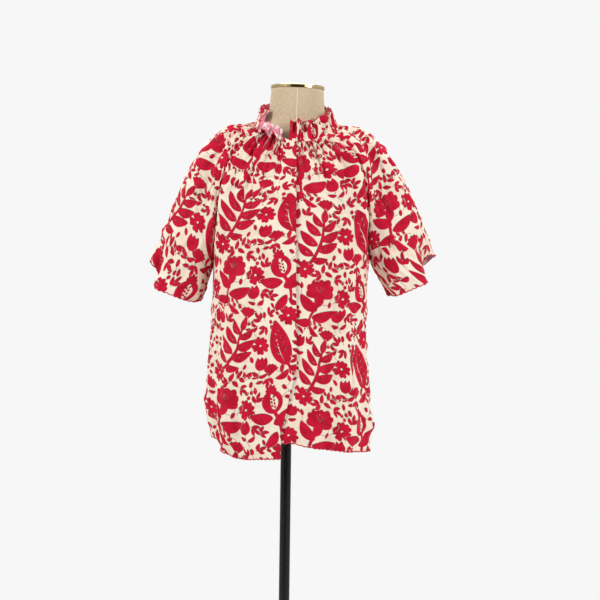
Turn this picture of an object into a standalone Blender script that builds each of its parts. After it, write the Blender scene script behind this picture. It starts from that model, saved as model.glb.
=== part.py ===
"""A ruffle neck blouse with raglan sleeves, worn by a limbless dress form on a pole stand.

Metres, +Z up. The front faces -Y and the origin is on the floor under the pole.
Right and left are the wearer's, so the right pieces lie at -X. The form and the blouse
lean a little on the pole, so they are modelled upright and hung on a tilted empty.
"""

import math
from collections import namedtuple

import bmesh
import bpy
import numpy as np

# Cloth
WALL = 0.0013
SEAM_GAP = 0.0004
FULL_TURN = 360.0

# Lean of the form on its pole
LEAN_DEG = 1.2
LEAN_HEIGHT = 0.745

# Neckline, the ring that the elastic draws in. It rises from the front to the back.
NECK_HALF_WIDTH = 0.093
NECK_HALF_DEPTH = 0.085
NECK_CENTRE_Y = -0.005
Neck = namedtuple("Neck", "angle right left")
NECKLINE = [
    Neck(0, 1.3675, 1.3675),
    Neck(10, 1.3705, 1.3685),
    Neck(20, 1.3770, 1.3705),
    Neck(35, 1.3870, 1.3775),
    Neck(52, 1.3945, 1.3885),
    Neck(72, 1.3995, 1.3970),
    Neck(90, 1.4020, 1.4020),
    Neck(132, 1.4130, 1.4130),
    Neck(180, 1.4200, 1.4200),
]

# Raglan seams, as angles round the neckline from the centre front
RAGLAN_FRONT = 48.0
RAGLAN_BACK = 132.0

# Body
BODY_ROUNDNESS = 2.25
Section = namedtuple("Section", "height half_width front back shift")
BODY_SECTIONS = [
    Section(1.112, 0.1700, 0.130, 0.112, -0.0020),
    Section(1.020, 0.1695, 0.136, 0.118, -0.0020),
    Section(0.915, 0.1730, 0.142, 0.126, -0.0020),
    Section(0.860, 0.1770, 0.145, 0.130, 0.0000),
    Section(0.805, 0.1800, 0.147, 0.133, 0.0010),
    Section(0.770, 0.1820, 0.147, 0.134, 0.0060),
    Section(0.725, 0.1740, 0.146, 0.133, 0.0090),
    Section(0.670, 0.1660, 0.145, 0.132, 0.0090),
]
# Hem heights round the body from the centre front, 90 being the side seam
Hem = namedtuple("Hem", "angle right left")
HEM = [
    Hem(0, 0.6905, 0.7240),
    Hem(10, 0.6880, 0.7170),
    Hem(25, 0.6855, 0.7110),
    Hem(39, 0.6840, 0.7070),
    Hem(48, 0.6900, 0.7050),
    Hem(58, 0.7020, 0.7030),
    Hem(68, 0.7150, 0.7020),
    Hem(76, 0.7240, 0.7060),
    Hem(90, 0.7400, 0.7320),
    Hem(112, 0.7330, 0.7330),
    Hem(140, 0.7180, 0.7180),
    Hem(180, 0.7080, 0.7080),
]

# Ribs run from the neckline to the underarm level. These are their directions there.
Rib = namedtuple("Rib", "angle right_sideways left_sideways forward right_up left_up")
NECK_RIBS = [
    Rib(0, 0.000, 0.000, 0.105, -0.200, -0.200),
    Rib(24, 0.150, 0.150, 0.130, -0.190, -0.140),
    Rib(48, 0.320, 0.300, 0.130, -0.090, -0.050),
    Rib(90, 0.400, 0.280, 0.000, 0.045, 0.090),
    Rib(132, 0.330, 0.310, -0.110, -0.020, -0.010),
    Rib(156, 0.150, 0.150, -0.120, -0.100, -0.100),
    Rib(180, 0.000, 0.000, -0.100, -0.170, -0.170),
]
BODY_RIB_END = np.array([0.002, 0.0, -0.280])
RAGLAN_RIB_END = np.array([0.020, 0.240, -0.300])
BODY_RIB_BLEND = 42.0
SLEEVE_RIB_BLEND = 95.0

# The two sleeves hang differently. Vectors are for a left sleeve and mirrored for the right:
# the widest lines across its top and its cuff, from the underarm outwards, and the cuff's middle.
Side = namedtuple("Side", "underarm top_across rib_end cuff_centre cuff_across "
                  "pinch_angle pinch_width pinch_depth")
RIGHT = Side(1.090, (0.1085, 0.090), 0.20, (0.2500, 1.0650), (0.1200, 0.0700), 142.0, 17.0, 0.020)
LEFT = Side(1.123, (0.1184, 0.077), 0.33, (0.2605, 1.0900), (0.1070, 0.0760), 136.0, 18.0, 0.025)
SLEEVE_HALF_DEPTH = 0.055
CUFF_HALF_DEPTH = 0.053
SLEEVE_DOWN = np.array([0.405, 0.0, -0.914])
# The cuff's front lobe hangs lower than its back lobe, with a pinched fold between them
Cuff = namedtuple("Cuff", "angle right left")
CUFF_DROP = [
    Cuff(0, 0.008, 0.008),
    Cuff(45, 0.028, 0.022),
    Cuff(90, 0.038, 0.031),
    Cuff(122, 0.042, 0.032),
    Cuff(147, 0.012, -0.010),
    Cuff(180, 0.000, -0.004),
    Cuff(270, 0.006, 0.004),
    Cuff(360, 0.008, 0.008),
]

# Gathers under the elastic: how many each piece has, and their depth down a rib
GATHERS_FRONT = 8
GATHERS_BACK = 12
GATHERS_SLEEVE = 10
Depth = namedtuple("Depth", "along gather fold flute")
DEPTHS = [
    Depth(0.00, 0.0003, 0.0000, 0.0000),
    Depth(0.04, 0.0026, 0.0004, 0.0000),
    Depth(0.10, 0.0034, 0.0014, 0.0000),
    Depth(0.18, 0.0030, 0.0028, 0.0000),
    Depth(0.30, 0.0016, 0.0036, 0.0000),
    Depth(0.45, 0.0006, 0.0030, 0.0000),
    Depth(0.65, 0.0000, 0.0014, 0.0000),
    Depth(0.85, 0.0000, 0.0003, 0.0000),
    Depth(1.00, 0.0000, 0.0000, 0.0000),
    Depth(1.40, 0.0000, 0.0000, 0.0026),
    Depth(2.00, 0.0000, 0.0000, 0.0058),
]

# Placket: the right front's edge lies over the left front, whose edge is hidden under it
PLACKET_WIDTH = 0.028
PLACKET_BESIDE = 0.003
PLACKET_RAMP = 0.014
PLACKET_CALM = 1.3
LAYER_DROP = WALL + 0.0009
Edge = namedtuple("Edge", "height x")
PLACKET_EDGE = [
    Edge(1.380, 0.001),
    Edge(1.240, 0.006),
    Edge(1.109, 0.010),
    Edge(0.950, 0.016),
    Edge(0.885, 0.018),
    Edge(0.837, 0.008),
    Edge(0.787, -0.001),
    Edge(0.749, -0.009),
    Edge(0.690, -0.009),
]

# Main creases: where each starts and ends round the body, down the rib, and its size
Crease = namedtuple("Crease", "piece top_angle end_angle top end depth width")
CREASES = [
    Crease("front_right", -25.5, -27.0, 0.02, 0.95, 0.0060, 1.8),
    Crease("front_right", -8.5, -8.0, 0.02, 0.60, 0.0022, 1.3),
    Crease("front_left", 6.5, 7.5, 0.03, 0.85, 0.0048, 2.2),
    Crease("front_left", 17.0, 20.0, 0.02, 0.55, 0.0040, 1.6),
    Crease("front_left", 33.0, 36.0, 0.02, 0.70, 0.0036, 2.0),
    Crease("sleeve_left", 66.0, 74.0, 0.02, 0.90, 0.0050, 3.0),
    Crease("sleeve_left", 108.0, 104.0, 0.02, 0.90, 0.0050, 3.0),
    Crease("sleeve_right", -64.0, -70.0, 0.02, 0.95, 0.0055, 3.0),
    Crease("sleeve_right", -82.0, -86.0, 0.02, 0.70, 0.0045, 2.6),
    Crease("sleeve_right", -110.0, -106.0, 0.02, 0.90, 0.0050, 3.0),
    Crease("back", 152.0, 156.0, 0.02, 0.80, 0.0045, 2.6),
    Crease("back", 171.0, 174.0, 0.02, 0.65, 0.0040, 2.2),
    Crease("back", 194.0, 190.0, 0.02, 0.85, 0.0045, 2.6),
    Crease("back", 213.0, 208.0, 0.02, 0.60, 0.0040, 2.2),
]

# Rows down each piece: the first ones have a column at each gather's crest, flank and valley
FINE_ROWS = [0.0, 0.035, 0.085, 0.15, 0.235]
UPPER_ROWS = [0.35, 0.48, 0.62, 0.81, 1.0]
BODY_LOWER_ROWS = [1.15, 1.33, 1.52, 1.70, 1.87, 2.0]
SLEEVE_LOWER_ROWS = [1.25, 1.5, 1.75, 2.0]
FINE_PER_GATHER = 4
COARSE_PER_GATHER = 2

# Neck ruffle, a strip with its casing over the elastic, open at the centre front
RUFFLE_START = -9.5
RUFFLE_END = 342.0
RUFFLE_WAVES = 24
CASING_LIFT = 0.0008
CASING_HEIGHT = 0.009
RUFFLE_HEIGHT = 0.046
# It leans in towards the neck by these slopes, 90 being upright
Lean = namedtuple("Lean", "angle casing ruffle wave")
RUFFLE_LEAN = [
    Lean(0, 100, 110, 1.0),
    Lean(45, 103, 117, 1.0),
    Lean(90, 106, 129, 0.7),
    Lean(130, 99, 110, 0.7),
    Lean(180, 94, 99, 0.7),
]
RUFFLE_ROWS = [0.0, 0.009, 0.017, 0.026, 0.036, 0.046]
RUFFLE_DEPTH = 0.0060
RUFFLE_PER_WAVE = 6
CASING_PER_WAVE = 3
# At its right end the ruffle flops outwards above its casing and shows its wrong side
FLOP_START = 301.0
FLOP_FULL = 314.0
FLOP_FROM = 0.008
FLOP_TO = 0.021
FLOP_START_DEG = -30.0
FLOP_END_DEG = -45.0
# The ruffle is drawn in where it turns over
FLOP_NOTCH = 0.55

# Dress form: neck, shoulders, bust, waist and hip
FORM_ROUNDNESS = 2.15
FORM_SEGMENTS = 36
FORM_SECTIONS = [
    Section(1.4867, 0.0575, 0.0575, 0.0575, 0),
    Section(1.4600, 0.0590, 0.0590, 0.0600, 0),
    Section(1.4350, 0.0620, 0.0610, 0.0640, 0),
    Section(1.4180, 0.0660, 0.0620, 0.0665, 0),
    Section(1.4115, 0.0730, 0.0630, 0.0685, 0),
    Section(1.4028, 0.0840, 0.0640, 0.0700, 0),
    Section(1.3933, 0.1010, 0.0655, 0.0715, 0),
    Section(1.3823, 0.1240, 0.0685, 0.0740, 0),
    Section(1.3683, 0.1500, 0.0730, 0.0770, 0),
    Section(1.3461, 0.1740, 0.0800, 0.0820, 0),
    Section(1.3080, 0.1820, 0.0900, 0.0880, 0),
    Section(1.2500, 0.1770, 0.1060, 0.0930, 0),
    Section(1.1850, 0.1610, 0.1190, 0.0940, 0),
    Section(1.1250, 0.1460, 0.1110, 0.0890, 0),
    Section(1.0550, 0.1290, 0.0950, 0.0830, 0),
    Section(1.0050, 0.1200, 0.0880, 0.0810, 0),
    Section(0.9400, 0.1360, 0.0980, 0.0940, 0),
    Section(0.8600, 0.1560, 0.1060, 0.1080, 0),
    Section(0.7950, 0.1560, 0.1040, 0.1090, 0),
    Section(0.7450, 0.1440, 0.0960, 0.1000, 0),
]
CAP_RADIUS = 0.0590
CAP_FOOT = 1.4870
CAP_TOP = 1.4950
CAP_EDGE = 0.0022

# Stand
POLE_RADIUS = 0.0117
POLE_SEGMENTS = 24
COLLAR_RADIUS = 0.0220
COLLAR_HEIGHT = 0.0180
POLE_TOP = LEAN_HEIGHT - 0.0008
BASE_RADIUS = 0.1600
BASE_THICKNESS = 0.0100
BASE_EDGE = 0.0030
HUB_RADIUS = 0.0230
HUB_TOP = 0.0420
SOCKET_GAP = 0.0004
BASE_SEGMENTS = 48

Finish = namedtuple("Finish", "colour roughness metallic")
FINISHES = {
    "printed_cotton": Finish((0.70, 0.27, 0.25), 0.80, 0.0),
    "form_cover": Finish((0.62, 0.50, 0.36), 0.85, 0.0),
    "brass": Finish((0.62, 0.50, 0.26), 0.25, 1.0),
    "black_metal": Finish((0.012, 0.011, 0.010), 0.35, 0.4),
}


def clear_scene():
    for thing in list(bpy.data.objects):
        bpy.data.objects.remove(thing)


def material(name):
    finish = FINISHES[name]
    made = bpy.data.materials.get(name) or bpy.data.materials.new(name)
    made.use_nodes = True
    shader = made.node_tree.nodes["Principled BSDF"]
    shader.inputs["Base Color"].default_value = (*finish.colour, 1.0)
    shader.inputs["Roughness"].default_value = finish.roughness
    shader.inputs["Metallic"].default_value = finish.metallic
    return made


def ease(value):
    """Smooth step from 0 to 1."""
    value = min(1.0, max(0.0, value))
    return value * value * (3 - 2 * value)


def column(rows, name):
    return [getattr(row, name) for row in rows]


def curve_at(rows, key, name, at):
    """Smooth curve through a table's column, read at a value of its key column."""
    keys, values = column(rows, key), column(rows, name)
    if keys[0] > keys[-1]:
        keys, values = keys[::-1], values[::-1]
    if at <= keys[0]:
        return values[0]
    if at >= keys[-1]:
        return values[-1]
    i = int(np.searchsorted(keys, at, side="right")) - 1

    def slope(j):
        low, high = max(j - 1, 0), min(j + 1, len(keys) - 1)
        return (values[high] - values[low]) / (keys[high] - keys[low])

    span = keys[i + 1] - keys[i]
    k = (at - keys[i]) / span
    return (
        values[i] * (1 + 2 * k) * (1 - k) ** 2
        + values[i + 1] * k * k * (3 - 2 * k)
        + span * (slope(i) * k * (1 - k) ** 2 - slope(i + 1) * k * k * (1 - k))
    )


def hermite(start, end, leaving, arriving, k):
    return (
        start * (1 + 2 * k) * (1 - k) ** 2
        + end * k * k * (3 - 2 * k)
        + leaving * k * (1 - k) ** 2
        - arriving * k * k * (1 - k)
    )


def signed_power(value, power):
    return math.copysign(abs(value) ** power, value)


def ring_point(section, angle, roundness):
    """Point of a rounded ring, by the angle from the centre front."""
    turn = math.radians(angle)
    across = signed_power(math.sin(turn), 2 / roundness)
    ahead = signed_power(math.cos(turn), 2 / roundness)
    depth = section.front if ahead > 0 else section.back
    return np.array([section.half_width * across + section.shift, -depth * ahead, section.height])


def body_ring(angle, height):
    """Point round the body; a negative angle is the wearer's right."""
    columns = (curve_at(BODY_SECTIONS, "height", name, height) for name in Section._fields[1:])
    return ring_point(Section(height, *columns), angle, BODY_ROUNDNESS)


def signed(angle):
    """The same angle between -180 and 180. Below 0 is the wearer's right."""
    return (angle + 180) % FULL_TURN - 180


def underarm_height(around):
    """Height of the underarm level, which is tilted from side to side."""
    middle, half = (LEFT.underarm + RIGHT.underarm) / 2, (LEFT.underarm - RIGHT.underarm) / 2
    return middle + half * math.sin(math.radians(around))


def neck_point(angle):
    """Neckline point, by the angle from the centre front; 0 to 180 is the left side."""
    angle = signed(angle)
    turn = math.radians(angle)
    return np.array([
        NECK_HALF_WIDTH * math.sin(turn),
        NECK_CENTRE_Y - NECK_HALF_DEPTH * math.cos(turn),
        curve_at(NECKLINE, "angle", "right" if angle < 0 else "left", abs(angle)),
    ])


def neck_direction(angle):
    side, away = ("left", angle) if angle >= 0 else ("right", -angle)
    sideways = curve_at(NECK_RIBS, "angle", side + "_sideways", away)
    return np.array([
        math.copysign(sideways, angle),
        -curve_at(NECK_RIBS, "angle", "forward", away),
        curve_at(NECK_RIBS, "angle", side + "_up", away),
    ])


def body_angle(angle):
    """Angle round the body of the rib that starts at this angle of the neckline."""
    side = 90.0
    away = abs(angle)
    if away <= RAGLAN_FRONT:
        around = away * side / RAGLAN_FRONT
    else:
        around = 180 - (180 - away) * side / (180 - RAGLAN_BACK)
    return math.copysign(around, angle)


def raglan_end(angle, front):
    """Direction in which the ribs beside a raglan seam come down to the underarm."""
    return RAGLAN_RIB_END * (math.copysign(1, angle), 1 if front else -1, 1)


def body_base(angle, along, right_hem):
    """Smooth surface of the fronts and the back."""
    around = body_angle(angle)
    top = underarm_height(around)
    if along > 1:
        low = curve_at(HEM, "angle", "right" if right_hem else "left", abs(around))
        return body_ring(around, top + (low - top) * (along - 1))
    near_side = ease(1 - abs(abs(around) - 90) / BODY_RIB_BLEND)
    raglan = raglan_end(angle, abs(around) <= 90)
    arriving = BODY_RIB_END + (raglan - BODY_RIB_END) * near_side
    return hermite(neck_point(angle), body_ring(around, top), neck_direction(angle), arriving, along)


def sleeve_ring(angle, turn, along):
    """Ring of the sleeve tube, turn 0 at the underarm seam and 90 in front."""
    k = along - 1
    side = LEFT if angle > 0 else RIGHT
    mirror = math.copysign(1, angle)
    top = np.array([side.top_across[0], 0, side.top_across[1]]) / 2
    cuff = np.array([side.cuff_across[0], 0, side.cuff_across[1]]) / 2
    underarm = body_ring(90 * mirror, side.underarm) * (mirror, 1, 1)
    low = np.array([side.cuff_centre[0], 0, side.cuff_centre[1]])
    centre = underarm + top + (low - underarm - top) * k
    across = top + (cuff - top) * k
    depth = SLEEVE_HALF_DEPTH + (CUFF_HALF_DEPTH - SLEEVE_HALF_DEPTH) * k
    pinch = side.pinch_depth * ease(k) * math.exp(
        -(((turn - side.pinch_angle) / side.pinch_width) ** 2))
    cosine, sine = math.cos(math.radians(turn)), math.sin(math.radians(turn))
    point = centre - across * cosine * (1 - pinch / np.linalg.norm(across))
    point = point + np.array([0, -sine * (depth - pinch), 0])
    drop = curve_at(CUFF_DROP, "angle", "left" if angle > 0 else "right", turn)
    return (point + SLEEVE_DOWN * drop * k) * (mirror, 1, 1)


def sleeve_base(angle, along):
    """Smooth surface of a sleeve."""
    turn = FULL_TURN * (abs(angle) - RAGLAN_FRONT) / (RAGLAN_BACK - RAGLAN_FRONT)
    if along > 1:
        return sleeve_ring(angle, turn, along)
    outer = math.sin(math.radians(turn / 2)) ** 2
    side = LEFT if angle > 0 else RIGHT
    free = SLEEVE_DOWN * (0.32 + (side.rib_end - 0.32) * outer) * (math.copysign(1, angle), 1, 1)
    from_seam = min(turn, FULL_TURN - turn)
    raglan = raglan_end(angle, turn <= 180)
    arriving = free + (raglan - free) * ease(1 - from_seam / SLEEVE_RIB_BLEND)
    ring = sleeve_ring(angle, turn, 1)
    return hermite(neck_point(angle), ring, neck_direction(angle), arriving, along)


def base_point(angle, along, right_hem=None):
    """Smooth surface of the whole blouse. The fronts overlap, so each asks for its own hem."""
    angle = signed(angle)
    if RAGLAN_FRONT < abs(angle) < RAGLAN_BACK:
        return sleeve_base(angle, along)
    return body_base(angle, along, angle < 0 if right_hem is None else right_hem)


def step_round(angle, by, along):
    """Angle a step further round. Below the underarm it goes from seam to seam."""
    angle = signed(angle)
    side = -1 if angle < 0 else 1
    angle = abs(angle)
    moved = angle + by * side
    width = RAGLAN_BACK - RAGLAN_FRONT
    if along > 1 and (moved > RAGLAN_FRONT) != (angle > RAGLAN_FRONT):
        moved += width
    elif along > 1 and (moved > RAGLAN_BACK) != (angle > RAGLAN_BACK):
        moved -= width
    return moved * side


def outward(angle, along, right_hem):
    """Direction out of the smooth surface, the same from both sides of a seam."""
    step = 0.15
    low, high = max(along - 0.01, 0), min(along + 0.01, 2)
    if low < 1 < high:
        high = 1
    after = base_point(step_round(angle, step, along), along, right_hem)
    before = base_point(step_round(angle, -step, along), along, right_hem)
    down = base_point(angle, high, right_hem) - base_point(angle, low, right_hem)
    direction = np.cross(down, after - before)
    return direction / np.linalg.norm(direction)


def edge_angle(along, inset, right_hem):
    """Neckline angle of the rib that passes the placket's edge, or a line beside it."""
    x = curve_at(PLACKET_EDGE, "height", "x", base_point(0, along, right_hem)[2]) - inset
    low, high = -RAGLAN_FRONT / 2, RAGLAN_FRONT / 2
    for _ in range(24):
        middle = (low + high) / 2
        if base_point(middle, along, right_hem)[0] < x:
            low = middle
        else:
            high = middle
    return (low + high) / 2


Piece = namedtuple("Piece", "name start end gathers folds lower_rows start_seams end_seams")
PIECES = [
    Piece("front_right", -RAGLAN_FRONT, None, GATHERS_FRONT, 3, BODY_LOWER_ROWS,
          ("raglan_front_right", "side_right"), None),
    Piece("front_left", None, RAGLAN_FRONT, GATHERS_FRONT, 3, BODY_LOWER_ROWS,
          None, ("raglan_front_left", "side_left")),
    Piece("sleeve_left", RAGLAN_FRONT, RAGLAN_BACK, GATHERS_SLEEVE, 4, SLEEVE_LOWER_ROWS,
          ("raglan_front_left", "sleeve_seam_left"), ("raglan_back_left", "sleeve_seam_left")),
    Piece("back", RAGLAN_BACK, FULL_TURN - RAGLAN_BACK, GATHERS_BACK, 4, BODY_LOWER_ROWS,
          ("raglan_back_left", "side_left"), ("raglan_back_right", "side_right")),
    Piece("sleeve_right", -RAGLAN_BACK, -RAGLAN_FRONT, GATHERS_SLEEVE, 4, SLEEVE_LOWER_ROWS,
          ("raglan_back_right", "sleeve_seam_right"), ("raglan_front_right", "sleeve_seam_right")),
]
RIGHT_HEM = {"front_right": True, "front_left": False}


def gather_phase(share):
    """Gathers differ in width: their count so far, as a share of a piece's gathers."""
    return share + 0.022 * math.sin(2 * math.pi * share) + 0.011 * math.sin(6 * math.pi * share)


def gather_shares(count):
    """Shares of a piece's width at evenly spaced phases, crests and valleys among them."""
    fine = np.linspace(0, 1, 400)
    phases = [gather_phase(share) for share in fine]
    return list(np.interp(np.linspace(0, 1, count + 1), phases, fine))


def share_angle(piece, share, along):
    """Angle of a point of a piece. Shares below 0 and above 1 are the flat placket."""
    hem = RIGHT_HEM.get(piece.name)
    if piece.end is None:
        start, end = piece.start, edge_angle(along, PLACKET_WIDTH, hem)
        if share > 1:
            return end + (edge_angle(along, 0, hem) - end) * (share - 1)
    elif piece.start is None:
        start, end = edge_angle(along, -PLACKET_BESIDE, hem), piece.end
        if share < 0:
            return start + (edge_angle(along, PLACKET_WIDTH, hem) - start) * -share
    else:
        start, end = piece.start, piece.end
    angle = start + (end - start) * share
    # A hair inside the piece, so that a seam point is read on the piece's own side
    return min(max(angle, start + 1e-6), end - 1e-6)


def calm(piece, share):
    """0 at the flat placket and 1 away from it."""
    if piece.end is None:
        return ease((1 - share) * piece.gathers / PLACKET_CALM)
    if piece.start is None:
        return ease(share * piece.gathers / PLACKET_CALM)
    return 1.0


def relief(piece, share, angle, along):
    """How far gathers, folds and creases stand out of the smooth surface."""
    phase = gather_phase(share)
    uneven = math.sin(2 * math.pi * (2.3 * phase + piece.gathers / 7)) * math.sin(math.pi * phase)
    gather = curve_at(DEPTHS, "along", "gather", along) * (1 + 0.35 * uneven)
    fold = curve_at(DEPTHS, "along", "fold", along)
    if piece.lower_rows is BODY_LOWER_ROWS:
        fold += curve_at(DEPTHS, "along", "flute", along)
    out = -gather * math.cos(2 * math.pi * piece.gathers * phase)
    out -= fold * math.cos(2 * math.pi * piece.folds * share)
    for crease in CREASES:
        if crease.piece != piece.name or not crease.top < along < crease.end:
            continue
        k = (along - crease.top) / (crease.end - crease.top)
        centre = crease.top_angle + (crease.end_angle - crease.top_angle) * k
        side = ((angle - centre) / crease.width) ** 2
        out -= crease.depth * ease(k * 8) * ease((1 - k) * 1.6) * math.exp(-side)
    return out * calm(piece, share)


def layer_drop(piece, angle, along):
    """The left front steps under the right front along the placket."""
    if piece.start is not None:
        return 0.0
    point = base_point(angle, along, RIGHT_HEM[piece.name])
    beyond = point[0] - curve_at(PLACKET_EDGE, "height", "x", base_point(0, along, False)[2])
    return LAYER_DROP * (1 - ease((beyond - PLACKET_BESIDE) / PLACKET_RAMP))


def cloth_point(piece, share, along):
    angle = share_angle(piece, share, along)
    hem = RIGHT_HEM.get(piece.name)
    out = relief(piece, share, angle, along) - layer_drop(piece, angle, along)
    return base_point(angle, along, hem) + outward(angle, along, hem) * out


def seam_key(seams, along, row):
    """Name of the point that pieces share at a seam, or None at a free edge."""
    if seams is None:
        return None
    return (seams[0] if along < 1 else seams[1], row)


def piece_rows(piece):
    """Rows of outer points down a piece, each with its shares and its seams' names."""
    rows = []
    for row, along in enumerate(FINE_ROWS + UPPER_ROWS + piece.lower_rows):
        per_gather = FINE_PER_GATHER if along in FINE_ROWS else COARSE_PER_GATHER
        shares = gather_shares(piece.gathers * per_gather)
        if piece.end is None:
            shares = shares + [1.5, 2.0]
        if piece.start is None:
            shares = [-1.0, -0.5] + shares
        points = np.array([cloth_point(piece, share, along) for share in shares])
        keys = (seam_key(piece.start_seams, along, row), seam_key(piece.end_seams, along, row))
        rows.append((shares, points, keys))
    return rows


def ruffle_profile(angle, height):
    """How far out and up the ruffle's middle surface is, and its slope, at a height along it."""
    steps = 24
    out = up = 0.0
    flop = ease((angle - FLOP_START) / (FLOP_FULL - FLOP_START))
    casing = curve_at(RUFFLE_LEAN, "angle", "casing", abs(signed(angle)))
    top = curve_at(RUFFLE_LEAN, "angle", "ruffle", abs(signed(angle)))
    drawn_in = FLOP_NOTCH * 4 * flop * (1 - flop)
    height -= max(height - CASING_HEIGHT, 0) * drawn_in
    slope = math.radians(casing)
    for i in range(steps):
        at = height * (i + 0.5) / steps
        lean = casing + (top - casing) * ease(at / (2 * CASING_HEIGHT))
        flat = FLOP_START_DEG + (FLOP_END_DEG - FLOP_START_DEG) * flop
        lean += (flat - lean) * flop * ease((at - FLOP_FROM) / (FLOP_TO - FLOP_FROM))
        slope = math.radians(lean)
        out += math.cos(slope) * height / steps
        up += math.sin(slope) * height / steps
    return out, up, slope


def ruffle_point(share, height):
    angle = RUFFLE_START + (RUFFLE_END - RUFFLE_START) * share
    foot = neck_point(angle)
    radial = np.array([math.sin(math.radians(angle)), -math.cos(math.radians(angle)), 0])
    out, up, slope = ruffle_profile(angle, height)
    grow = ease((height - CASING_HEIGHT * 0.5) / (RUFFLE_HEIGHT * 0.8))
    size = curve_at(RUFFLE_LEAN, "angle", "wave", abs(signed(angle)))
    size *= 1 + 0.18 * math.sin(math.radians(3 * angle + 40))
    wave = RUFFLE_DEPTH * grow * size * math.cos(2 * math.pi * RUFFLE_WAVES * share)
    out += wave * math.sin(slope)
    up -= wave * math.cos(slope)
    return foot + radial * out + np.array([0, 0, up + CASING_LIFT])


def ruffle_rows():
    rows = []
    for height in reversed(RUFFLE_ROWS):
        per_wave = CASING_PER_WAVE if height < CASING_HEIGHT else RUFFLE_PER_WAVE
        shares = np.linspace(0, 1, RUFFLE_WAVES * per_wave + 1)
        points = np.array([ruffle_point(share, height) for share in shares])
        rows.append((shares, points, (None, None)))
    return rows


def strip_triangles(upper, lower, first_upper, first_lower):
    """Triangles between two rows, whose points are matched by their shares."""
    i = j = 0
    triangles = []
    while i < len(upper) - 1 or j < len(lower) - 1:
        step_upper = j == len(lower) - 1 or (
            i < len(upper) - 1 and upper[i + 1] + upper[i] <= lower[j + 1] + lower[j] + 1e-9
        )
        if step_upper:
            triangles.append((first_upper + i, first_lower + j, first_upper + i + 1))
            i += 1
        else:
            triangles.append((first_upper + i, first_lower + j, first_lower + j + 1))
            j += 1
    return triangles


def sheet_triangles(rows):
    firsts = np.cumsum([0] + [len(shares) for shares, _, _ in rows])
    triangles = []
    for k in range(len(rows) - 1):
        triangles += strip_triangles(rows[k][0], rows[k + 1][0], firsts[k], firsts[k + 1])
    return triangles, firsts


def point_normals(points, triangles):
    """Sums of the face normals round each point, which aren't yet of length 1."""
    normals = np.zeros_like(points)
    for a, b, c in triangles:
        face = np.cross(points[b] - points[a], points[c] - points[a])
        for corner in (a, b, c):
            normals[corner] += face / max(np.linalg.norm(face), 1e-12)
    return normals


def border(firsts):
    """Indices round the edge of a sheet, in order."""
    top = list(range(firsts[0], firsts[1]))
    right = [last - 1 for last in firsts[2:]]
    bottom = list(range(firsts[-1] - 2, firsts[-2] - 1, -1))
    left = [first for first in firsts[-3:0:-1]]
    return top + right + bottom + left


def cloth_wall(name, points, normals, triangles, firsts):
    """Closed wall between the outer points and the same points moved in."""
    count = len(points)
    inner = points - normals * WALL
    faces = [tuple(t) for t in triangles]
    faces += [(c + count, b + count, a + count) for a, b, c in triangles]
    edge = border(firsts)
    for a, b in zip(edge, edge[1:] + edge[:1]):
        faces += [(a, b, b + count), (a, b + count, a + count)]
    return solid(name, np.vstack([points, inner]), faces, "printed_cotton")


def solid(name, points, faces, finish):
    mesh = bpy.data.meshes.new(name)
    mesh.from_pydata([tuple(map(float, p)) for p in points], [], [tuple(map(int, f)) for f in faces])
    work = bmesh.new()
    work.from_mesh(mesh)
    bmesh.ops.recalc_face_normals(work, faces=work.faces[:])
    work.to_mesh(mesh)
    work.free()
    return placed(name, mesh, finish)


def placed(name, mesh, finish):
    mesh.materials.append(material(finish))
    mesh.shade_smooth()
    mesh.set_sharp_from_angle(angle=math.radians(50))
    made = bpy.data.objects.new(name, mesh)
    bpy.context.scene.collection.objects.link(made)
    return made


def seam_points(rows, firsts):
    """Each seam point of a sheet: its key, its index and the index beside it in the row."""
    for k, (_, _, keys) in enumerate(rows):
        first, last = firsts[k], firsts[k + 1] - 1
        if keys[0]:
            yield keys[0], first, first + 1
        if keys[1]:
            yield keys[1], last, last - 1


def unit(vector):
    return vector / np.linalg.norm(vector)


def seam_normal(own, others, into):
    """Normal of one piece at a seam. It is shared, but not where the seam lies in a groove."""
    groove = max(float(np.dot(into, other)) for other in others)
    shared = unit(own + sum(others))
    return unit(shared + (own - shared) * ease((groove - 0.12) / 0.2))


def blouse():
    """The five cut pieces and the neck ruffle. Pieces share their normals at a seam."""
    sheets, shared = {}, {}
    for piece in PIECES:
        rows = piece_rows(piece)
        triangles, firsts = sheet_triangles(rows)
        points = np.vstack([row[1] for row in rows])
        normals = point_normals(points, triangles)
        normals /= np.linalg.norm(normals, axis=1)[:, None]
        sheets[piece.name] = (rows, points, normals, triangles, firsts)
        for key, at, _ in seam_points(rows, firsts):
            shared.setdefault(key, []).append(normals[at].copy())
    made = []
    for name, (rows, points, normals, triangles, firsts) in sheets.items():
        moved = points.copy()
        for key, at, beside in seam_points(rows, firsts):
            own = normals[at]
            others = [other for other in shared[key] if not np.array_equal(other, own)]
            into = points[beside] - points[at]
            into = unit(into - own * np.dot(into, own))
            moved[at] = points[at] + into * SEAM_GAP / 2
            normals[at] = seam_normal(own, others, into)
        made.append(cloth_wall(name, moved, normals, triangles, firsts))
    made.append(neck_ruffle())
    return made


def neck_ruffle():
    rows = ruffle_rows()
    triangles, firsts = sheet_triangles(rows)
    points = np.vstack([row[1] for row in rows])
    normals = point_normals(points, triangles)
    normals /= np.linalg.norm(normals, axis=1)[:, None]
    return cloth_wall("neck_ruffle", points, normals, triangles, firsts)


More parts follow.
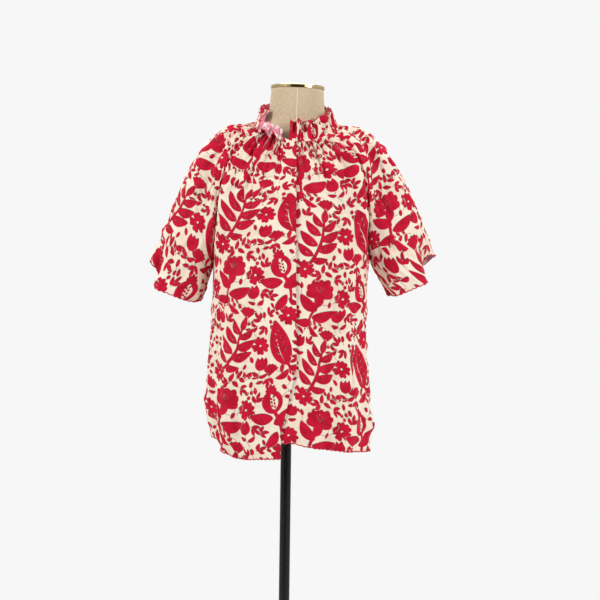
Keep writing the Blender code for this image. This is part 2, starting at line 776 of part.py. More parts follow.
def dress_form():
    """Smooth closed torso with its neck, lofted through its sections."""
    points, faces = [], []
    for section in FORM_SECTIONS:
        for i in range(FORM_SEGMENTS):
            points.append(ring_point(section, FULL_TURN * i / FORM_SEGMENTS, FORM_ROUNDNESS))
    for k in range(len(FORM_SECTIONS) - 1):
        for i in range(FORM_SEGMENTS):
            j = (i + 1) % FORM_SEGMENTS
            upper, lower = k * FORM_SEGMENTS, (k + 1) * FORM_SEGMENTS
            faces.append((upper + i, lower + i, lower + j, upper + j))
    last = (len(FORM_SECTIONS) - 1) * FORM_SEGMENTS
    faces.append(tuple(range(FORM_SEGMENTS)))
    faces.append(tuple(range(last + FORM_SEGMENTS - 1, last - 1, -1)))
    return solid("dress_form", points, faces, "form_cover")


def turned(name, profile, segments, finish):
    """Solid of revolution round Z from a profile of (radius, height), bottom to top."""
    points, faces, rings = [], [], []
    for radius, height in profile:
        if radius == 0:
            rings.append([len(points)])
            points.append((0, 0, height))
            continue
        rings.append(list(range(len(points), len(points) + segments)))
        for i in range(segments):
            turn = 2 * math.pi * i / segments
            points.append((radius * math.cos(turn), radius * math.sin(turn), height))
    for lower, upper in zip(rings, rings[1:]):
        for i in range(segments):
            j = (i + 1) % segments
            face = [lower[i % len(lower)], lower[j % len(lower)],
                    upper[j % len(upper)], upper[i % len(upper)]]
            faces.append(tuple(dict.fromkeys(face)))
    return solid(name, points, faces, finish)


def neck_cap():
    profile = [
        (0, CAP_FOOT),
        (CAP_RADIUS, CAP_FOOT),
        (CAP_RADIUS, CAP_TOP - CAP_EDGE),
        (CAP_RADIUS - CAP_EDGE, CAP_TOP - CAP_EDGE / 3),
        (CAP_RADIUS / 2, CAP_TOP),
        (0, CAP_TOP),
    ]
    return turned("neck_cap", profile, POLE_SEGMENTS * 2, "brass")


def pole():
    collar_foot = POLE_TOP - COLLAR_HEIGHT
    profile = [
        (0, BASE_THICKNESS + SOCKET_GAP),
        (POLE_RADIUS, BASE_THICKNESS + SOCKET_GAP),
        (POLE_RADIUS, collar_foot),
        (COLLAR_RADIUS, collar_foot),
        (COLLAR_RADIUS, POLE_TOP),
        (0, POLE_TOP),
    ]
    return turned("pole", profile, POLE_SEGMENTS, "black_metal")


def stand_base():
    """Round weighted foot with a socket for the pole."""
    socket = POLE_RADIUS + SOCKET_GAP
    profile = [
        (0, 0),
        (BASE_RADIUS - BASE_EDGE, 0),
        (BASE_RADIUS, BASE_EDGE),
        (BASE_RADIUS, BASE_THICKNESS - BASE_EDGE),
        (BASE_RADIUS - BASE_EDGE, BASE_THICKNESS),
        (HUB_RADIUS, BASE_THICKNESS),
        (HUB_RADIUS, HUB_TOP),
        (socket, HUB_TOP),
        (socket, BASE_THICKNESS),
        (0, BASE_THICKNESS),
    ]
    return turned("stand_base", profile, BASE_SEGMENTS, "black_metal")


def main():
    clear_scene()
    lean = bpy.data.objects.new("lean", None)
    lean.location = (0, 0, LEAN_HEIGHT)
    lean.rotation_euler = (0, math.radians(LEAN_DEG), 0)
    bpy.context.scene.collection.objects.link(lean)
    for made in [dress_form(), neck_cap(), *blouse()]:
        made.parent = lean
        made.location = (0, 0, -LEAN_HEIGHT)
    pole()
    stand_base()


main()
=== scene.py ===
"""Looks of a printed ruffle neck blouse on its dress form.

Metres, +Z up, the front faces -Y. Right and left are the wearer's, so the right is at -X.
Each cut piece is a thin cloth shell on the smooth surface that its solid has, with finer
gathers, folds and creases. The print is worked out in the cloth's own flat measures and
kept on the mesh as distances to the nearest motif's edge, which the material turns to ink.
"""

import math
from collections import namedtuple

import bpy
import numpy as np
from mathutils import Matrix, Vector

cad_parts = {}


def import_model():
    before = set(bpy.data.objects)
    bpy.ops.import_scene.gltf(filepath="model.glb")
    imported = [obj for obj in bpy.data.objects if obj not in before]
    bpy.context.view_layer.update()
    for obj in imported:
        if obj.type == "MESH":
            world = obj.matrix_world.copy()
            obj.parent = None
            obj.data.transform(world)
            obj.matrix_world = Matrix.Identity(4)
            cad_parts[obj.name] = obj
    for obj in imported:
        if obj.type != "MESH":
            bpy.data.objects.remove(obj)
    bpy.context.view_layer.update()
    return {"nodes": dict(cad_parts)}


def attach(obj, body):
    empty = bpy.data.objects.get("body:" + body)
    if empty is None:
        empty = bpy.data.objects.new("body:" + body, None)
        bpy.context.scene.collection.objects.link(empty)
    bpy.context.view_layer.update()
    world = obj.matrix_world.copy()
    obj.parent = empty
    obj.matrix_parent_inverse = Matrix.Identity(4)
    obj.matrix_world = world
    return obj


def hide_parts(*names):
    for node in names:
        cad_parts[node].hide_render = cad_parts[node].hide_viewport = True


def table(columns, rows):
    """Rows of a table with named columns."""
    row = namedtuple("row", columns)
    return [row(*values) for values in rows]


def piece_tables(columns, tables):
    """A table with the same named columns for each piece."""
    return {piece: table(columns, rows) for piece, rows in tables.items()}


# Cloth
CLOTH = 0.0007
FULL_TURN = 360.0

# Lean of the form on its pole
LEAN_DEG = 1.2
LEAN_HEIGHT = 0.745

# Neckline, the ring that the elastic draws in
NECK_HALF_WIDTH = 0.093
NECK_HALF_DEPTH = 0.085
NECK_CENTRE_Y = -0.005
NECKLINE = table("angle right left", [
    (0, 1.3675, 1.3675),
    (10, 1.3705, 1.3685),
    (20, 1.3770, 1.3705),
    (35, 1.3870, 1.3775),
    (52, 1.3945, 1.3885),
    (72, 1.3995, 1.3970),
    (90, 1.4020, 1.4020),
    (132, 1.4130, 1.4130),
    (180, 1.4200, 1.4200),
])
RAGLAN_FRONT = 48.0
RAGLAN_BACK = 132.0

# Body
BODY_ROUNDNESS = 2.25
SECTION = "height half_width front back shift"
BODY_SECTIONS = table(SECTION, [
    (1.112, 0.1700, 0.130, 0.112, -0.0020),
    (1.020, 0.1695, 0.136, 0.118, -0.0020),
    (0.915, 0.1730, 0.142, 0.126, -0.0020),
    (0.860, 0.1770, 0.145, 0.130, 0.0000),
    (0.805, 0.1800, 0.147, 0.133, 0.0010),
    (0.770, 0.1820, 0.147, 0.134, 0.0060),
    (0.725, 0.1740, 0.146, 0.133, 0.0090),
    (0.670, 0.1660, 0.145, 0.132, 0.0090),
])
HEM = table("angle right left", [
    (0, 0.6905, 0.7240),
    (10, 0.6880, 0.7170),
    (25, 0.6855, 0.7110),
    (39, 0.6840, 0.7070),
    (48, 0.6900, 0.7050),
    (58, 0.7020, 0.7030),
    (68, 0.7150, 0.7020),
    (76, 0.7240, 0.7060),
    (90, 0.7400, 0.7320),
    (112, 0.7330, 0.7330),
    (140, 0.7180, 0.7180),
    (180, 0.7080, 0.7080),
])

# Ribs run from the neckline to the underarm level. These are their directions there.
NECK_RIBS = table("angle right_sideways left_sideways forward right_up left_up", [
    (0, 0.000, 0.000, 0.105, -0.200, -0.200),
    (24, 0.150, 0.150, 0.130, -0.190, -0.140),
    (48, 0.320, 0.300, 0.130, -0.090, -0.050),
    (90, 0.400, 0.280, 0.000, 0.045, 0.090),
    (132, 0.330, 0.310, -0.110, -0.020, -0.010),
    (156, 0.150, 0.150, -0.120, -0.100, -0.100),
    (180, 0.000, 0.000, -0.100, -0.170, -0.170),
])
BODY_RIB_END = np.array([0.002, 0.0, -0.280])
RAGLAN_RIB_END = np.array([0.020, 0.240, -0.300])
BODY_RIB_BLEND = 42.0
SLEEVE_RIB_BLEND = 95.0

# Sleeves
Side = namedtuple("Side", "underarm top_across rib_end cuff_centre cuff_across "
                  "pinch_angle pinch_width pinch_depth")
RIGHT = Side(1.090, (0.1085, 0.090), 0.20, (0.2500, 1.0650), (0.1200, 0.0700), 142.0, 17.0, 0.020)
LEFT = Side(1.123, (0.1184, 0.077), 0.33, (0.2605, 1.0900), (0.1070, 0.0760), 136.0, 18.0, 0.025)
SLEEVE_HALF_DEPTH = 0.055
CUFF_HALF_DEPTH = 0.053
SLEEVE_DOWN = np.array([0.405, 0.0, -0.914])
CUFF_DROP = table("angle right left", [
    (0, 0.008, 0.008),
    (45, 0.028, 0.022),
    (90, 0.038, 0.031),
    (122, 0.042, 0.032),
    (147, 0.012, -0.010),
    (180, 0.000, -0.004),
    (270, 0.006, 0.004),
    (360, 0.008, 0.008),
])

# The solids' own gathers, folds and flutes
GATHERS_FRONT = 8
GATHERS_BACK = 12
GATHERS_SLEEVE = 10
DEPTHS = table("along gather fold flute", [
    (0.00, 0.0003, 0.0000, 0.0000),
    (0.04, 0.0026, 0.0004, 0.0000),
    (0.10, 0.0034, 0.0014, 0.0000),
    (0.18, 0.0030, 0.0028, 0.0000),
    (0.30, 0.0016, 0.0036, 0.0000),
    (0.45, 0.0006, 0.0030, 0.0000),
    (0.65, 0.0000, 0.0014, 0.0000),
    (0.85, 0.0000, 0.0003, 0.0000),
    (1.00, 0.0000, 0.0000, 0.0000),
    (1.40, 0.0000, 0.0000, 0.0026),
    (2.00, 0.0000, 0.0000, 0.0058),
])
CREASES = piece_tables("top_angle end_angle top end depth width", {
    "front_right": [
        (-25.5, -27.0, 0.02, 0.95, 0.0060, 1.8),
        (-8.5, -8.0, 0.02, 0.60, 0.0022, 1.3),
    ],
    "front_left": [
        (6.5, 7.5, 0.03, 0.85, 0.0048, 2.2),
        (17.0, 20.0, 0.02, 0.55, 0.0040, 1.6),
        (33.0, 36.0, 0.02, 0.70, 0.0036, 2.0),
    ],
    "sleeve_left": [
        (66.0, 74.0, 0.02, 0.90, 0.0050, 3.0),
        (108.0, 104.0, 0.02, 0.90, 0.0050, 3.0),
    ],
    "sleeve_right": [
        (-64.0, -70.0, 0.02, 0.95, 0.0055, 3.0),
        (-82.0, -86.0, 0.02, 0.70, 0.0045, 2.6),
        (-110.0, -106.0, 0.02, 0.90, 0.0050, 3.0),
    ],
    "back": [
        (152.0, 156.0, 0.02, 0.80, 0.0045, 2.6),
        (171.0, 174.0, 0.02, 0.65, 0.0040, 2.2),
        (194.0, 190.0, 0.02, 0.85, 0.0045, 2.6),
        (213.0, 208.0, 0.02, 0.60, 0.0040, 2.2),
    ],
})

# Placket
PLACKET_WIDTH = 0.028
PLACKET_BESIDE = 0.003
PLACKET_RAMP = 0.014
PLACKET_CALM = 1.3
LAYER_DROP = 0.0040
PLACKET_EDGE = table("height x", [
    (1.380, 0.001),
    (1.240, 0.006),
    (1.109, 0.010),
    (0.950, 0.016),
    (0.885, 0.018),
    (0.837, 0.008),
    (0.787, -0.001),
    (0.749, -0.009),
    (0.690, -0.009),
])

# Soft folds and creases, listed in the frame's sizes seen from the front or the back.
# A positive depth is a trough, a negative one a ridge.
FOLDS = piece_tables("x0 z0 x1 z1 depth width", {
    "front_right": [
        (-0.088, 1.355, -0.094, 1.200, 0.0020, 0.0030),
        (-0.098, 1.350, -0.106, 1.215, -0.0016, 0.0060),
        (-0.052, 1.350, -0.060, 1.270, 0.0012, 0.0040),
        (-0.150, 1.060, -0.120, 0.985, 0.0018, 0.0090),
        (-0.155, 0.860, -0.150, 0.700, 0.0042, 0.0100),
        (-0.110, 0.800, -0.118, 0.690, -0.0036, 0.0120),
        (-0.070, 1.130, -0.020, 1.090, 0.0010, 0.0080),
    ],
    "front_left": [
        (0.030, 1.350, 0.040, 1.235, 0.0018, 0.0040),
        (0.060, 1.355, 0.082, 1.250, 0.0018, 0.0050),
        (0.086, 1.345, 0.112, 1.215, -0.0016, 0.0070),
        (0.155, 1.090, 0.120, 1.010, 0.0020, 0.0090),
        (0.140, 0.870, 0.132, 0.715, 0.0044, 0.0110),
        (0.165, 0.800, 0.160, 0.712, -0.0024, 0.0080),
        (0.060, 0.830, 0.066, 0.715, 0.0034, 0.0120),
    ],
    "back": [
        (-0.140, 1.070, -0.100, 0.990, 0.0020, 0.0100),
        (0.145, 1.080, 0.105, 0.980, 0.0022, 0.0100),
        (-0.060, 1.300, -0.075, 1.120, 0.0018, 0.0080),
        (0.050, 1.310, 0.070, 1.150, -0.0018, 0.0090),
        (-0.100, 0.900, -0.112, 0.725, 0.0030, 0.0120),
        (0.030, 0.880, 0.036, 0.715, 0.0026, 0.0130),
        (0.118, 0.860, 0.124, 0.725, -0.0026, 0.0110),
    ],
    "sleeve_right": [
        (-0.170, 1.300, -0.225, 1.200, 0.0036, 0.0070),
        (-0.140, 1.320, -0.170, 1.200, 0.0032, 0.0060),
        (-0.185, 1.160, -0.250, 1.110, 0.0028, 0.0080),
        (-0.200, 1.110, -0.262, 1.075, -0.0016, 0.0080),
    ],
    "sleeve_left": [
        (0.165, 1.310, 0.225, 1.190, 0.0036, 0.0070),
        (0.135, 1.320, 0.175, 1.190, 0.0032, 0.0060),
        (0.190, 1.170, 0.262, 1.120, 0.0028, 0.0080),
        (0.205, 1.125, 0.250, 1.090, -0.0016, 0.0080),
    ],
})

# Pressed folds with one steep side, which lie over the cloth beside them
LAP_HIDES = 0.012
LAPS = piece_tables("x0 z0 x1 z1 depth steep reach", {
    "front_right": [
        (-0.0890, 1.368, -0.0905, 1.175, 0.0034, 0.0016, 0.020),
        (-0.0340, 1.352, -0.0380, 1.262, 0.0018, 0.0018, -0.014),
        (-0.1240, 1.345, -0.1330, 1.240, 0.0026, 0.0020, -0.018),
        (-0.1560, 1.020, -0.1530, 0.830, 0.0024, 0.0026, -0.026),
    ],
    "front_left": [
        (0.0460, 1.356, 0.0560, 1.238, 0.0026, 0.0018, 0.018),
        (0.0960, 1.352, 0.1170, 1.225, 0.0028, 0.0020, -0.020),
        (0.1420, 1.010, 0.1390, 0.800, 0.0024, 0.0026, 0.026),
    ],
    "back": [
        (-0.0700, 1.330, -0.0860, 1.170, 0.0028, 0.0020, -0.020),
        (0.0180, 1.335, 0.0210, 1.190, 0.0026, 0.0020, 0.020),
        (0.0980, 1.320, 0.1160, 1.200, 0.0024, 0.0020, 0.018),
        (-0.1340, 1.010, -0.1280, 0.820, 0.0026, 0.0026, 0.028),
    ],
    "sleeve_right": [
        (-0.1560, 1.325, -0.2070, 1.190, 0.0028, 0.0020, -0.018),
    ],
    "sleeve_left": [
        (0.1500, 1.330, 0.2020, 1.195, 0.0028, 0.0020, 0.018),
    ],
})

# Neck ruffle
RUFFLE_START = -9.5
RUFFLE_END = 342.0
RUFFLE_WAVES = 24
CASING_LIFT = 0.0008
CASING_HEIGHT = 0.009
RUFFLE_HEIGHT = 0.046
RUFFLE_LEAN = table("angle casing ruffle wave", [
    (0, 100, 110, 1.0),
    (45, 103, 117, 1.0),
    (90, 106, 129, 0.7),
    (130, 99, 110, 0.7),
    (180, 94, 99, 0.7),
])
RUFFLE_DEPTH = 0.0060
RUFFLE_TUCK = 0.0022
FLOP_START = 301.0
FLOP_FULL = 314.0
FLOP_FROM = 0.008
FLOP_TO = 0.021
RUFFLE_PLEAT = 0.0040
RUFFLE_CRUSH = 0.0060
RUFFLE_UNEVEN = 0.13
FLOP_START_DEG = -30.0
FLOP_END_DEG = -45.0
FLOP_NOTCH = 0.55

# Dress form
FORM_ROUNDNESS = 2.15
FORM_COLUMNS = 144
FORM_STEP = 0.006
FORM_TOP_BEVEL = 0.0015
FORM_TOP_RADIUS = 0.057
FORM_SEAM_POINTS = 80
FORM_SEAM_END = 1.352
FORM_SEAM_RADIUS = 0.0010
FORM_SECTIONS = table(SECTION, [
    (1.4867, 0.0575, 0.0575, 0.0575, 0),
    (1.4600, 0.0590, 0.0590, 0.0600, 0),
    (1.4350, 0.0620, 0.0610, 0.0640, 0),
    (1.4180, 0.0660, 0.0620, 0.0665, 0),
    (1.4115, 0.0730, 0.0630, 0.0685, 0),
    (1.4028, 0.0840, 0.0640, 0.0700, 0),
    (1.3933, 0.1010, 0.0655, 0.0715, 0),
    (1.3823, 0.1240, 0.0685, 0.0740, 0),
    (1.3683, 0.1500, 0.0730, 0.0770, 0),
    (1.3461, 0.1740, 0.0800, 0.0820, 0),
    (1.3080, 0.1820, 0.0900, 0.0880, 0),
    (1.2500, 0.1770, 0.1060, 0.0930, 0),
    (1.1850, 0.1610, 0.1190, 0.0940, 0),
    (1.1250, 0.1460, 0.1110, 0.0890, 0),
    (1.0550, 0.1290, 0.0950, 0.0830, 0),
    (1.0050, 0.1200, 0.0880, 0.0810, 0),
    (0.9400, 0.1360, 0.0980, 0.0940, 0),
    (0.8600, 0.1560, 0.1060, 0.1080, 0),
    (0.7950, 0.1560, 0.1040, 0.1090, 0),
    (0.7450, 0.1440, 0.0960, 0.1000, 0),
])

# Grids of the cloth shells. The inner face has every third row and column of the outer one.
COARSE = 3
DIP_LIMIT = 0.0018
UPPER_STEPS = 174
BODY_LOWER_STEPS = 216
SLEEVE_LOWER_STEPS = 66
FRONT_COLUMNS = 162
PLACKET_COLUMNS = 18
BACK_COLUMNS = 219
SLEEVE_COLUMNS = 210
RUFFLE_COLUMNS = 648
RUFFLE_STEPS = 36
PROFILE_STEPS = 24

# Rolled overlocked edge, which draws the cloth into small scallops
SCALLOP_COLUMNS = 6
SCALLOP_DEPTH = 0.0019
SCALLOP_REACH = 7
THREAD_RADIUS = 0.0012
TUBE_SIDES = 6

# Camera, calibrated on the cap, the pole and the hem
CAMERA_X = 0.0267
CAMERA_Y = -3.8
CAMERA_Z = 1.108
CAMERA_LENS = 103.62
CAMERA_PITCH = -1.26
CAMERA_ROLL = 0.74


def ease(value):
    """Smooth step from 0 to 1."""
    value = np.clip(value, 0.0, 1.0)
    return value * value * (3 - 2 * value)


def hermite(start, end, leaving, arriving, k):
    return (
        start * (1 + 2 * k) * (1 - k) ** 2
        + end * k * k * (3 - 2 * k)
        + leaving * k * (1 - k) ** 2
        - arriving * k * k * (1 - k)
    )


def curve_at(rows, key, name, at):
    """Smooth curve through a table's column, read at an array of key values."""
    keys = np.array([getattr(row, key) for row in rows], float)
    values = np.array([getattr(row, name) for row in rows], float)
    if keys[0] > keys[-1]:
        keys, values = keys[::-1], values[::-1]
    slopes = np.empty_like(values)
    slopes[1:-1] = (values[2:] - values[:-2]) / (keys[2:] - keys[:-2])
    slopes[0] = (values[1] - values[0]) / (keys[1] - keys[0])
    slopes[-1] = (values[-1] - values[-2]) / (keys[-1] - keys[-2])
    at = np.clip(at, keys[0], keys[-1])
    i = np.clip(np.searchsorted(keys, at, side="right") - 1, 0, len(keys) - 2)
    span = keys[i + 1] - keys[i]
    k = (at - keys[i]) / span
    return hermite(values[i], values[i + 1], slopes[i] * span, slopes[i + 1] * span, k)


def stacked(x, y, z):
    return np.stack(np.broadcast_arrays(x, y, z), axis=-1)


def unit(vectors):
    return vectors / np.maximum(np.linalg.norm(vectors, axis=-1, keepdims=True), 1e-12)


def signed(angle):
    return (angle + 180) % FULL_TURN - 180


def signed_power(value, power):
    return np.sign(value) * np.abs(value) ** power


def ring_point(height, half_width, front, back, shift, angle, roundness):
    turn = np.radians(angle)
    across = signed_power(np.sin(turn), 2 / roundness)
    ahead = signed_power(np.cos(turn), 2 / roundness)
    depth = np.where(ahead > 0, front, back)
    return stacked(half_width * across + shift, -depth * ahead, height)


def section_ring(sections, angle, height, roundness):
    columns = (curve_at(sections, "height", name, height) for name in SECTION.split()[1:])
    return ring_point(height, *columns, angle, roundness)


def underarm_height(around):
    middle, half = (LEFT.underarm + RIGHT.underarm) / 2, (LEFT.underarm - RIGHT.underarm) / 2
    return middle + half * np.sin(np.radians(around))


def by_side(rows, key, right_name, left_name, angle, right):
    """A table's column for the right side or the left one, by an array of flags."""
    away = np.abs(angle)
    return np.where(right, curve_at(rows, key, right_name, away), curve_at(rows, key, left_name, away))


def neck_point(angle):
    angle = signed(angle)
    turn = np.radians(angle)
    return stacked(
        NECK_HALF_WIDTH * np.sin(turn),
        NECK_CENTRE_Y - NECK_HALF_DEPTH * np.cos(turn),
        by_side(NECKLINE, "angle", "right", "left", angle, angle < 0),
    )


def neck_direction(angle):
    right = angle < 0
    sideways = by_side(NECK_RIBS, "angle", "right_sideways", "left_sideways", angle, right)
    up = by_side(NECK_RIBS, "angle", "right_up", "left_up", angle, right)
    forward = curve_at(NECK_RIBS, "angle", "forward", np.abs(angle))
    return stacked(np.copysign(sideways, angle), -forward, up)


def body_angle(angle):
    away = np.abs(angle)
    side = 90.0
    ahead = away * side / RAGLAN_FRONT
    behind = 180 - (180 - away) * side / (180 - RAGLAN_BACK)
    return np.copysign(np.where(away <= RAGLAN_FRONT, ahead, behind), angle)


def raglan_end(angle, front):
    return RAGLAN_RIB_END * stacked(np.copysign(1.0, angle), np.where(front, 1.0, -1.0), 1.0)


def body_base(angle, along, right_hem):
    around = body_angle(angle)
    top = underarm_height(around)
    low = by_side(HEM, "angle", "right", "left", around, right_hem)
    height = top + (low - top) * np.maximum(along - 1, 0)
    ring = section_ring(BODY_SECTIONS, around, height, BODY_ROUNDNESS)
    near_side = ease(1 - np.abs(np.abs(around) - 90) / BODY_RIB_BLEND)[..., None]
    raglan = raglan_end(angle, np.abs(around) <= 90)
    arriving = BODY_RIB_END + (raglan - BODY_RIB_END) * near_side
    k = np.minimum(along, 1)[..., None]
    upper = hermite(neck_point(angle), ring, neck_direction(angle), arriving, k)
    return np.where(along[..., None] > 1, ring, upper)


def sleeve_ring(mirror, turn, along):
    """Ring of the sleeve tube, turn 0 at the underarm seam and 90 in front."""
    k = along - 1
    side = LEFT if mirror > 0 else RIGHT
    top = np.array([side.top_across[0], 0, side.top_across[1]]) / 2
    cuff = np.array([side.cuff_across[0], 0, side.cuff_across[1]]) / 2
    at_side = np.array([90.0 * mirror])
    underarm = section_ring(BODY_SECTIONS, at_side, np.array([side.underarm]), BODY_ROUNDNESS)[0]
    underarm = underarm * (mirror, 1, 1)
    low = np.array([side.cuff_centre[0], 0, side.cuff_centre[1]])
    centre = underarm + top + (low - underarm - top) * k[..., None]
    across = top + (cuff - top) * k[..., None]
    depth = SLEEVE_HALF_DEPTH + (CUFF_HALF_DEPTH - SLEEVE_HALF_DEPTH) * k
    pinch = side.pinch_depth * ease(k) * np.exp(-(((turn - side.pinch_angle) / side.pinch_width) ** 2))
    cosine, sine = np.cos(np.radians(turn)), np.sin(np.radians(turn))
    inward = cosine * (1 - pinch / np.linalg.norm(across, axis=-1))
    point = centre - across * inward[..., None]
    point = point + stacked(0.0, -sine * (depth - pinch), 0.0)
    drop = curve_at(CUFF_DROP, "angle", "left" if mirror > 0 else "right", turn)
    return (point + SLEEVE_DOWN * (drop * k)[..., None]) * (mirror, 1, 1)


def sleeve_base(angle, along, mirror):
    turn = FULL_TURN * (np.abs(angle) - RAGLAN_FRONT) / (RAGLAN_BACK - RAGLAN_FRONT)
    side = LEFT if mirror > 0 else RIGHT
    outer = np.sin(np.radians(turn / 2)) ** 2
    down = SLEEVE_DOWN * (mirror, 1, 1)
    free = down * (0.32 + (side.rib_end - 0.32) * outer)[..., None]
    from_seam = np.minimum(turn, FULL_TURN - turn)
    raglan = raglan_end(angle, turn <= 180)
    arriving = free + (raglan - free) * ease(1 - from_seam / SLEEVE_RIB_BLEND)[..., None]
    ring = sleeve_ring(mirror, turn, np.maximum(along, 1))
    k = np.minimum(along, 1)[..., None]
    upper = hermite(neck_point(angle), ring, neck_direction(angle), arriving, k)
    return np.where(along[..., None] > 1, ring, upper)


def base_point(angle, along, right_hem=None):
    """Smooth surface of the whole blouse, for arrays of neckline angles and ways along the ribs."""
    angle, along = np.broadcast_arrays(signed(np.asarray(angle, float)), np.asarray(along, float))
    away = np.abs(angle)
    sleeve = (away > RAGLAN_FRONT) & (away < RAGLAN_BACK)
    points = np.empty(angle.shape + (3,))
    body = ~sleeve
    if body.any():
        right = angle[body] < 0 if right_hem is None else np.full(body.sum(), right_hem)
        points[body] = body_base(angle[body], along[body], right)
    for mirror in (-1, 1):
        part = sleeve & (np.sign(angle) == mirror)
        if part.any():
            points[part] = sleeve_base(angle[part], along[part], mirror)
    return points


def step_round(angle, by, along):
    """Angle a step further round. Below the underarm it goes from seam to seam."""
    angle = signed(angle)
    side = np.where(angle < 0, -1.0, 1.0)
    away = np.abs(angle)
    moved = away + by * side
    width = RAGLAN_BACK - RAGLAN_FRONT
    low = along > 1
    past_front = low & ((moved > RAGLAN_FRONT) != (away > RAGLAN_FRONT))
    past_back = low & ~past_front & ((moved > RAGLAN_BACK) != (away > RAGLAN_BACK))
    moved = moved + np.where(past_front, width, 0) - np.where(past_back, width, 0)
    return moved * side


def outward(angle, along, right_hem):
    """Direction out of the smooth surface, the same from both sides of a seam."""
    step = 0.15
    low, high = np.maximum(along - 0.01, 0), np.minimum(along + 0.01, 2)
    high = np.where((low < 1) & (high > 1), 1, high)
    after = base_point(step_round(angle, step, along), along, right_hem)
    before = base_point(step_round(angle, -step, along), along, right_hem)
    down = base_point(angle, high, right_hem) - base_point(angle, low, right_hem)
    return unit(np.cross(down, after - before))


def edge_angle(along, inset, right_hem):
    """Neckline angle of the rib that passes the placket's edge, or a line beside it."""
    middle_height = base_point(np.zeros_like(along), along, right_hem)[..., 2]
    x = curve_at(PLACKET_EDGE, "height", "x", middle_height) - inset
    low = np.full_like(along, -RAGLAN_FRONT / 2)
    high = -low
    for _ in range(24):
        middle = (low + high) / 2
        under = base_point(middle, along, right_hem)[..., 0] < x
        low, high = np.where(under, middle, low), np.where(under, high, middle)
    return (low + high) / 2


Piece = namedtuple("Piece", "name start end gathers folds columns band lower_steps seed")
PIECES = [
    Piece("front_right", -RAGLAN_FRONT, None, GATHERS_FRONT, 3, FRONT_COLUMNS, PLACKET_COLUMNS,
          BODY_LOWER_STEPS, 1),
    Piece("front_left", None, RAGLAN_FRONT, GATHERS_FRONT, 3, FRONT_COLUMNS, PLACKET_COLUMNS,
          BODY_LOWER_STEPS, 2),
    Piece("sleeve_left", RAGLAN_FRONT, RAGLAN_BACK, GATHERS_SLEEVE, 4, SLEEVE_COLUMNS, 0,
          SLEEVE_LOWER_STEPS, 3),
    Piece("back", RAGLAN_BACK, FULL_TURN - RAGLAN_BACK, GATHERS_BACK, 4, BACK_COLUMNS, 0,
          BODY_LOWER_STEPS, 4),
    Piece("sleeve_right", -RAGLAN_BACK, -RAGLAN_FRONT, GATHERS_SLEEVE, 4, SLEEVE_COLUMNS, 0,
          SLEEVE_LOWER_STEPS, 5),
]
RIGHT_HEM = {"front_right": True, "front_left": False}


def is_body(piece):
    return piece.lower_steps == BODY_LOWER_STEPS


def gather_phase(share):
    """Gathers differ in width: their count so far, as a share of a piece's gathers."""
    return share + 0.022 * np.sin(2 * np.pi * share) + 0.011 * np.sin(6 * np.pi * share)


def share_angle(piece, share, along):
    """Angle of a point of a piece. Shares below 0 and above 1 are the flat placket."""
    hem = RIGHT_HEM.get(piece.name)
    if piece.end is None:
        start = np.full_like(along, piece.start)
        end = edge_angle(along, PLACKET_WIDTH, hem)
        band = end + (edge_angle(along, 0, hem) - end) * (share - 1)
        return np.where(share > 1, band, start + (end - start) * np.minimum(share, 1) + 1e-6)
    if piece.start is None:
        start = edge_angle(along, -PLACKET_BESIDE, hem)
        band = start + (edge_angle(along, PLACKET_WIDTH, hem) - start) * -share
        inside = start + (piece.end - start) * np.maximum(share, 0)
        return np.where(share < 0, band, np.minimum(inside, piece.end - 1e-6))
    angle = piece.start + (piece.end - piece.start) * share
    return np.clip(angle, piece.start + 1e-6, piece.end - 1e-6)


def calm(piece, share):
    """0 at the flat placket and 1 away from it."""
    if piece.end is None:
        return ease((1 - share) * piece.gathers / PLACKET_CALM)
    if piece.start is None:
        return ease(share * piece.gathers / PLACKET_CALM)
    return np.ones_like(share)


def ripple(at, seed, count=7):
    """Smooth uneven wave between about -1 and 1, the same for the same seed."""
    numbers = np.random.default_rng(seed)
    total = np.zeros_like(at)
    for _ in range(count):
        rate = numbers.uniform(0.6, 1.7)
        total += np.sin(2 * np.pi * (rate * at + numbers.uniform(0, 1)))
    return total / math.sqrt(count)


def crumple(across, down, scale, seed, count=14):
    """Uneven waves over the cloth in every direction, about 1 high."""
    numbers = np.random.default_rng(seed)
    total = np.zeros_like(across)
    for _ in range(count):
        turn = numbers.uniform(0, math.pi)
        rate = numbers.uniform(0.6, 1.6) / scale
        phase = numbers.uniform(0, 1)
        total += np.sin(2 * np.pi * (rate * (across * math.cos(turn) + down * math.sin(turn)) + phase))
    return total / math.sqrt(count / 2)


SEAM_REACH = 0.016
FINE_GATHER = 0.0020
FINE_FADE = 0.16
TUCK = 0.0013
VALLEY = 0.0036
FINE_PER_GATHER = 2.35
TUCKS_PER_GATHER = 4.3
VALLEYS_PER_GATHER = 1.55
SEAM_DIP = 0.0006
SEAM_DIP_WIDTH = 0.0022
SEAM_PUCKER = 0.0005
PUCKER_LENGTH = 0.0095
CRUMPLE = 0.0013
CRUMPLE_SCALE = 0.055
FINE_CRUMPLE_SCALE = 0.021
LINEN_CREASE = 0.0015
LINEN_CREASE_SCALE = 0.062
LINEN_BREAK_SCALE = 0.075
HEM_RIPPLE = 0.0016
HEM_RIPPLE_LENGTH = 0.045
SEAM_FREE = 0.012
STITCH_DIP = 0.0005
BAND_WAVE = 0.0004
GATHERED_UNTIL = 0.34
SOFT_ROWS = 11


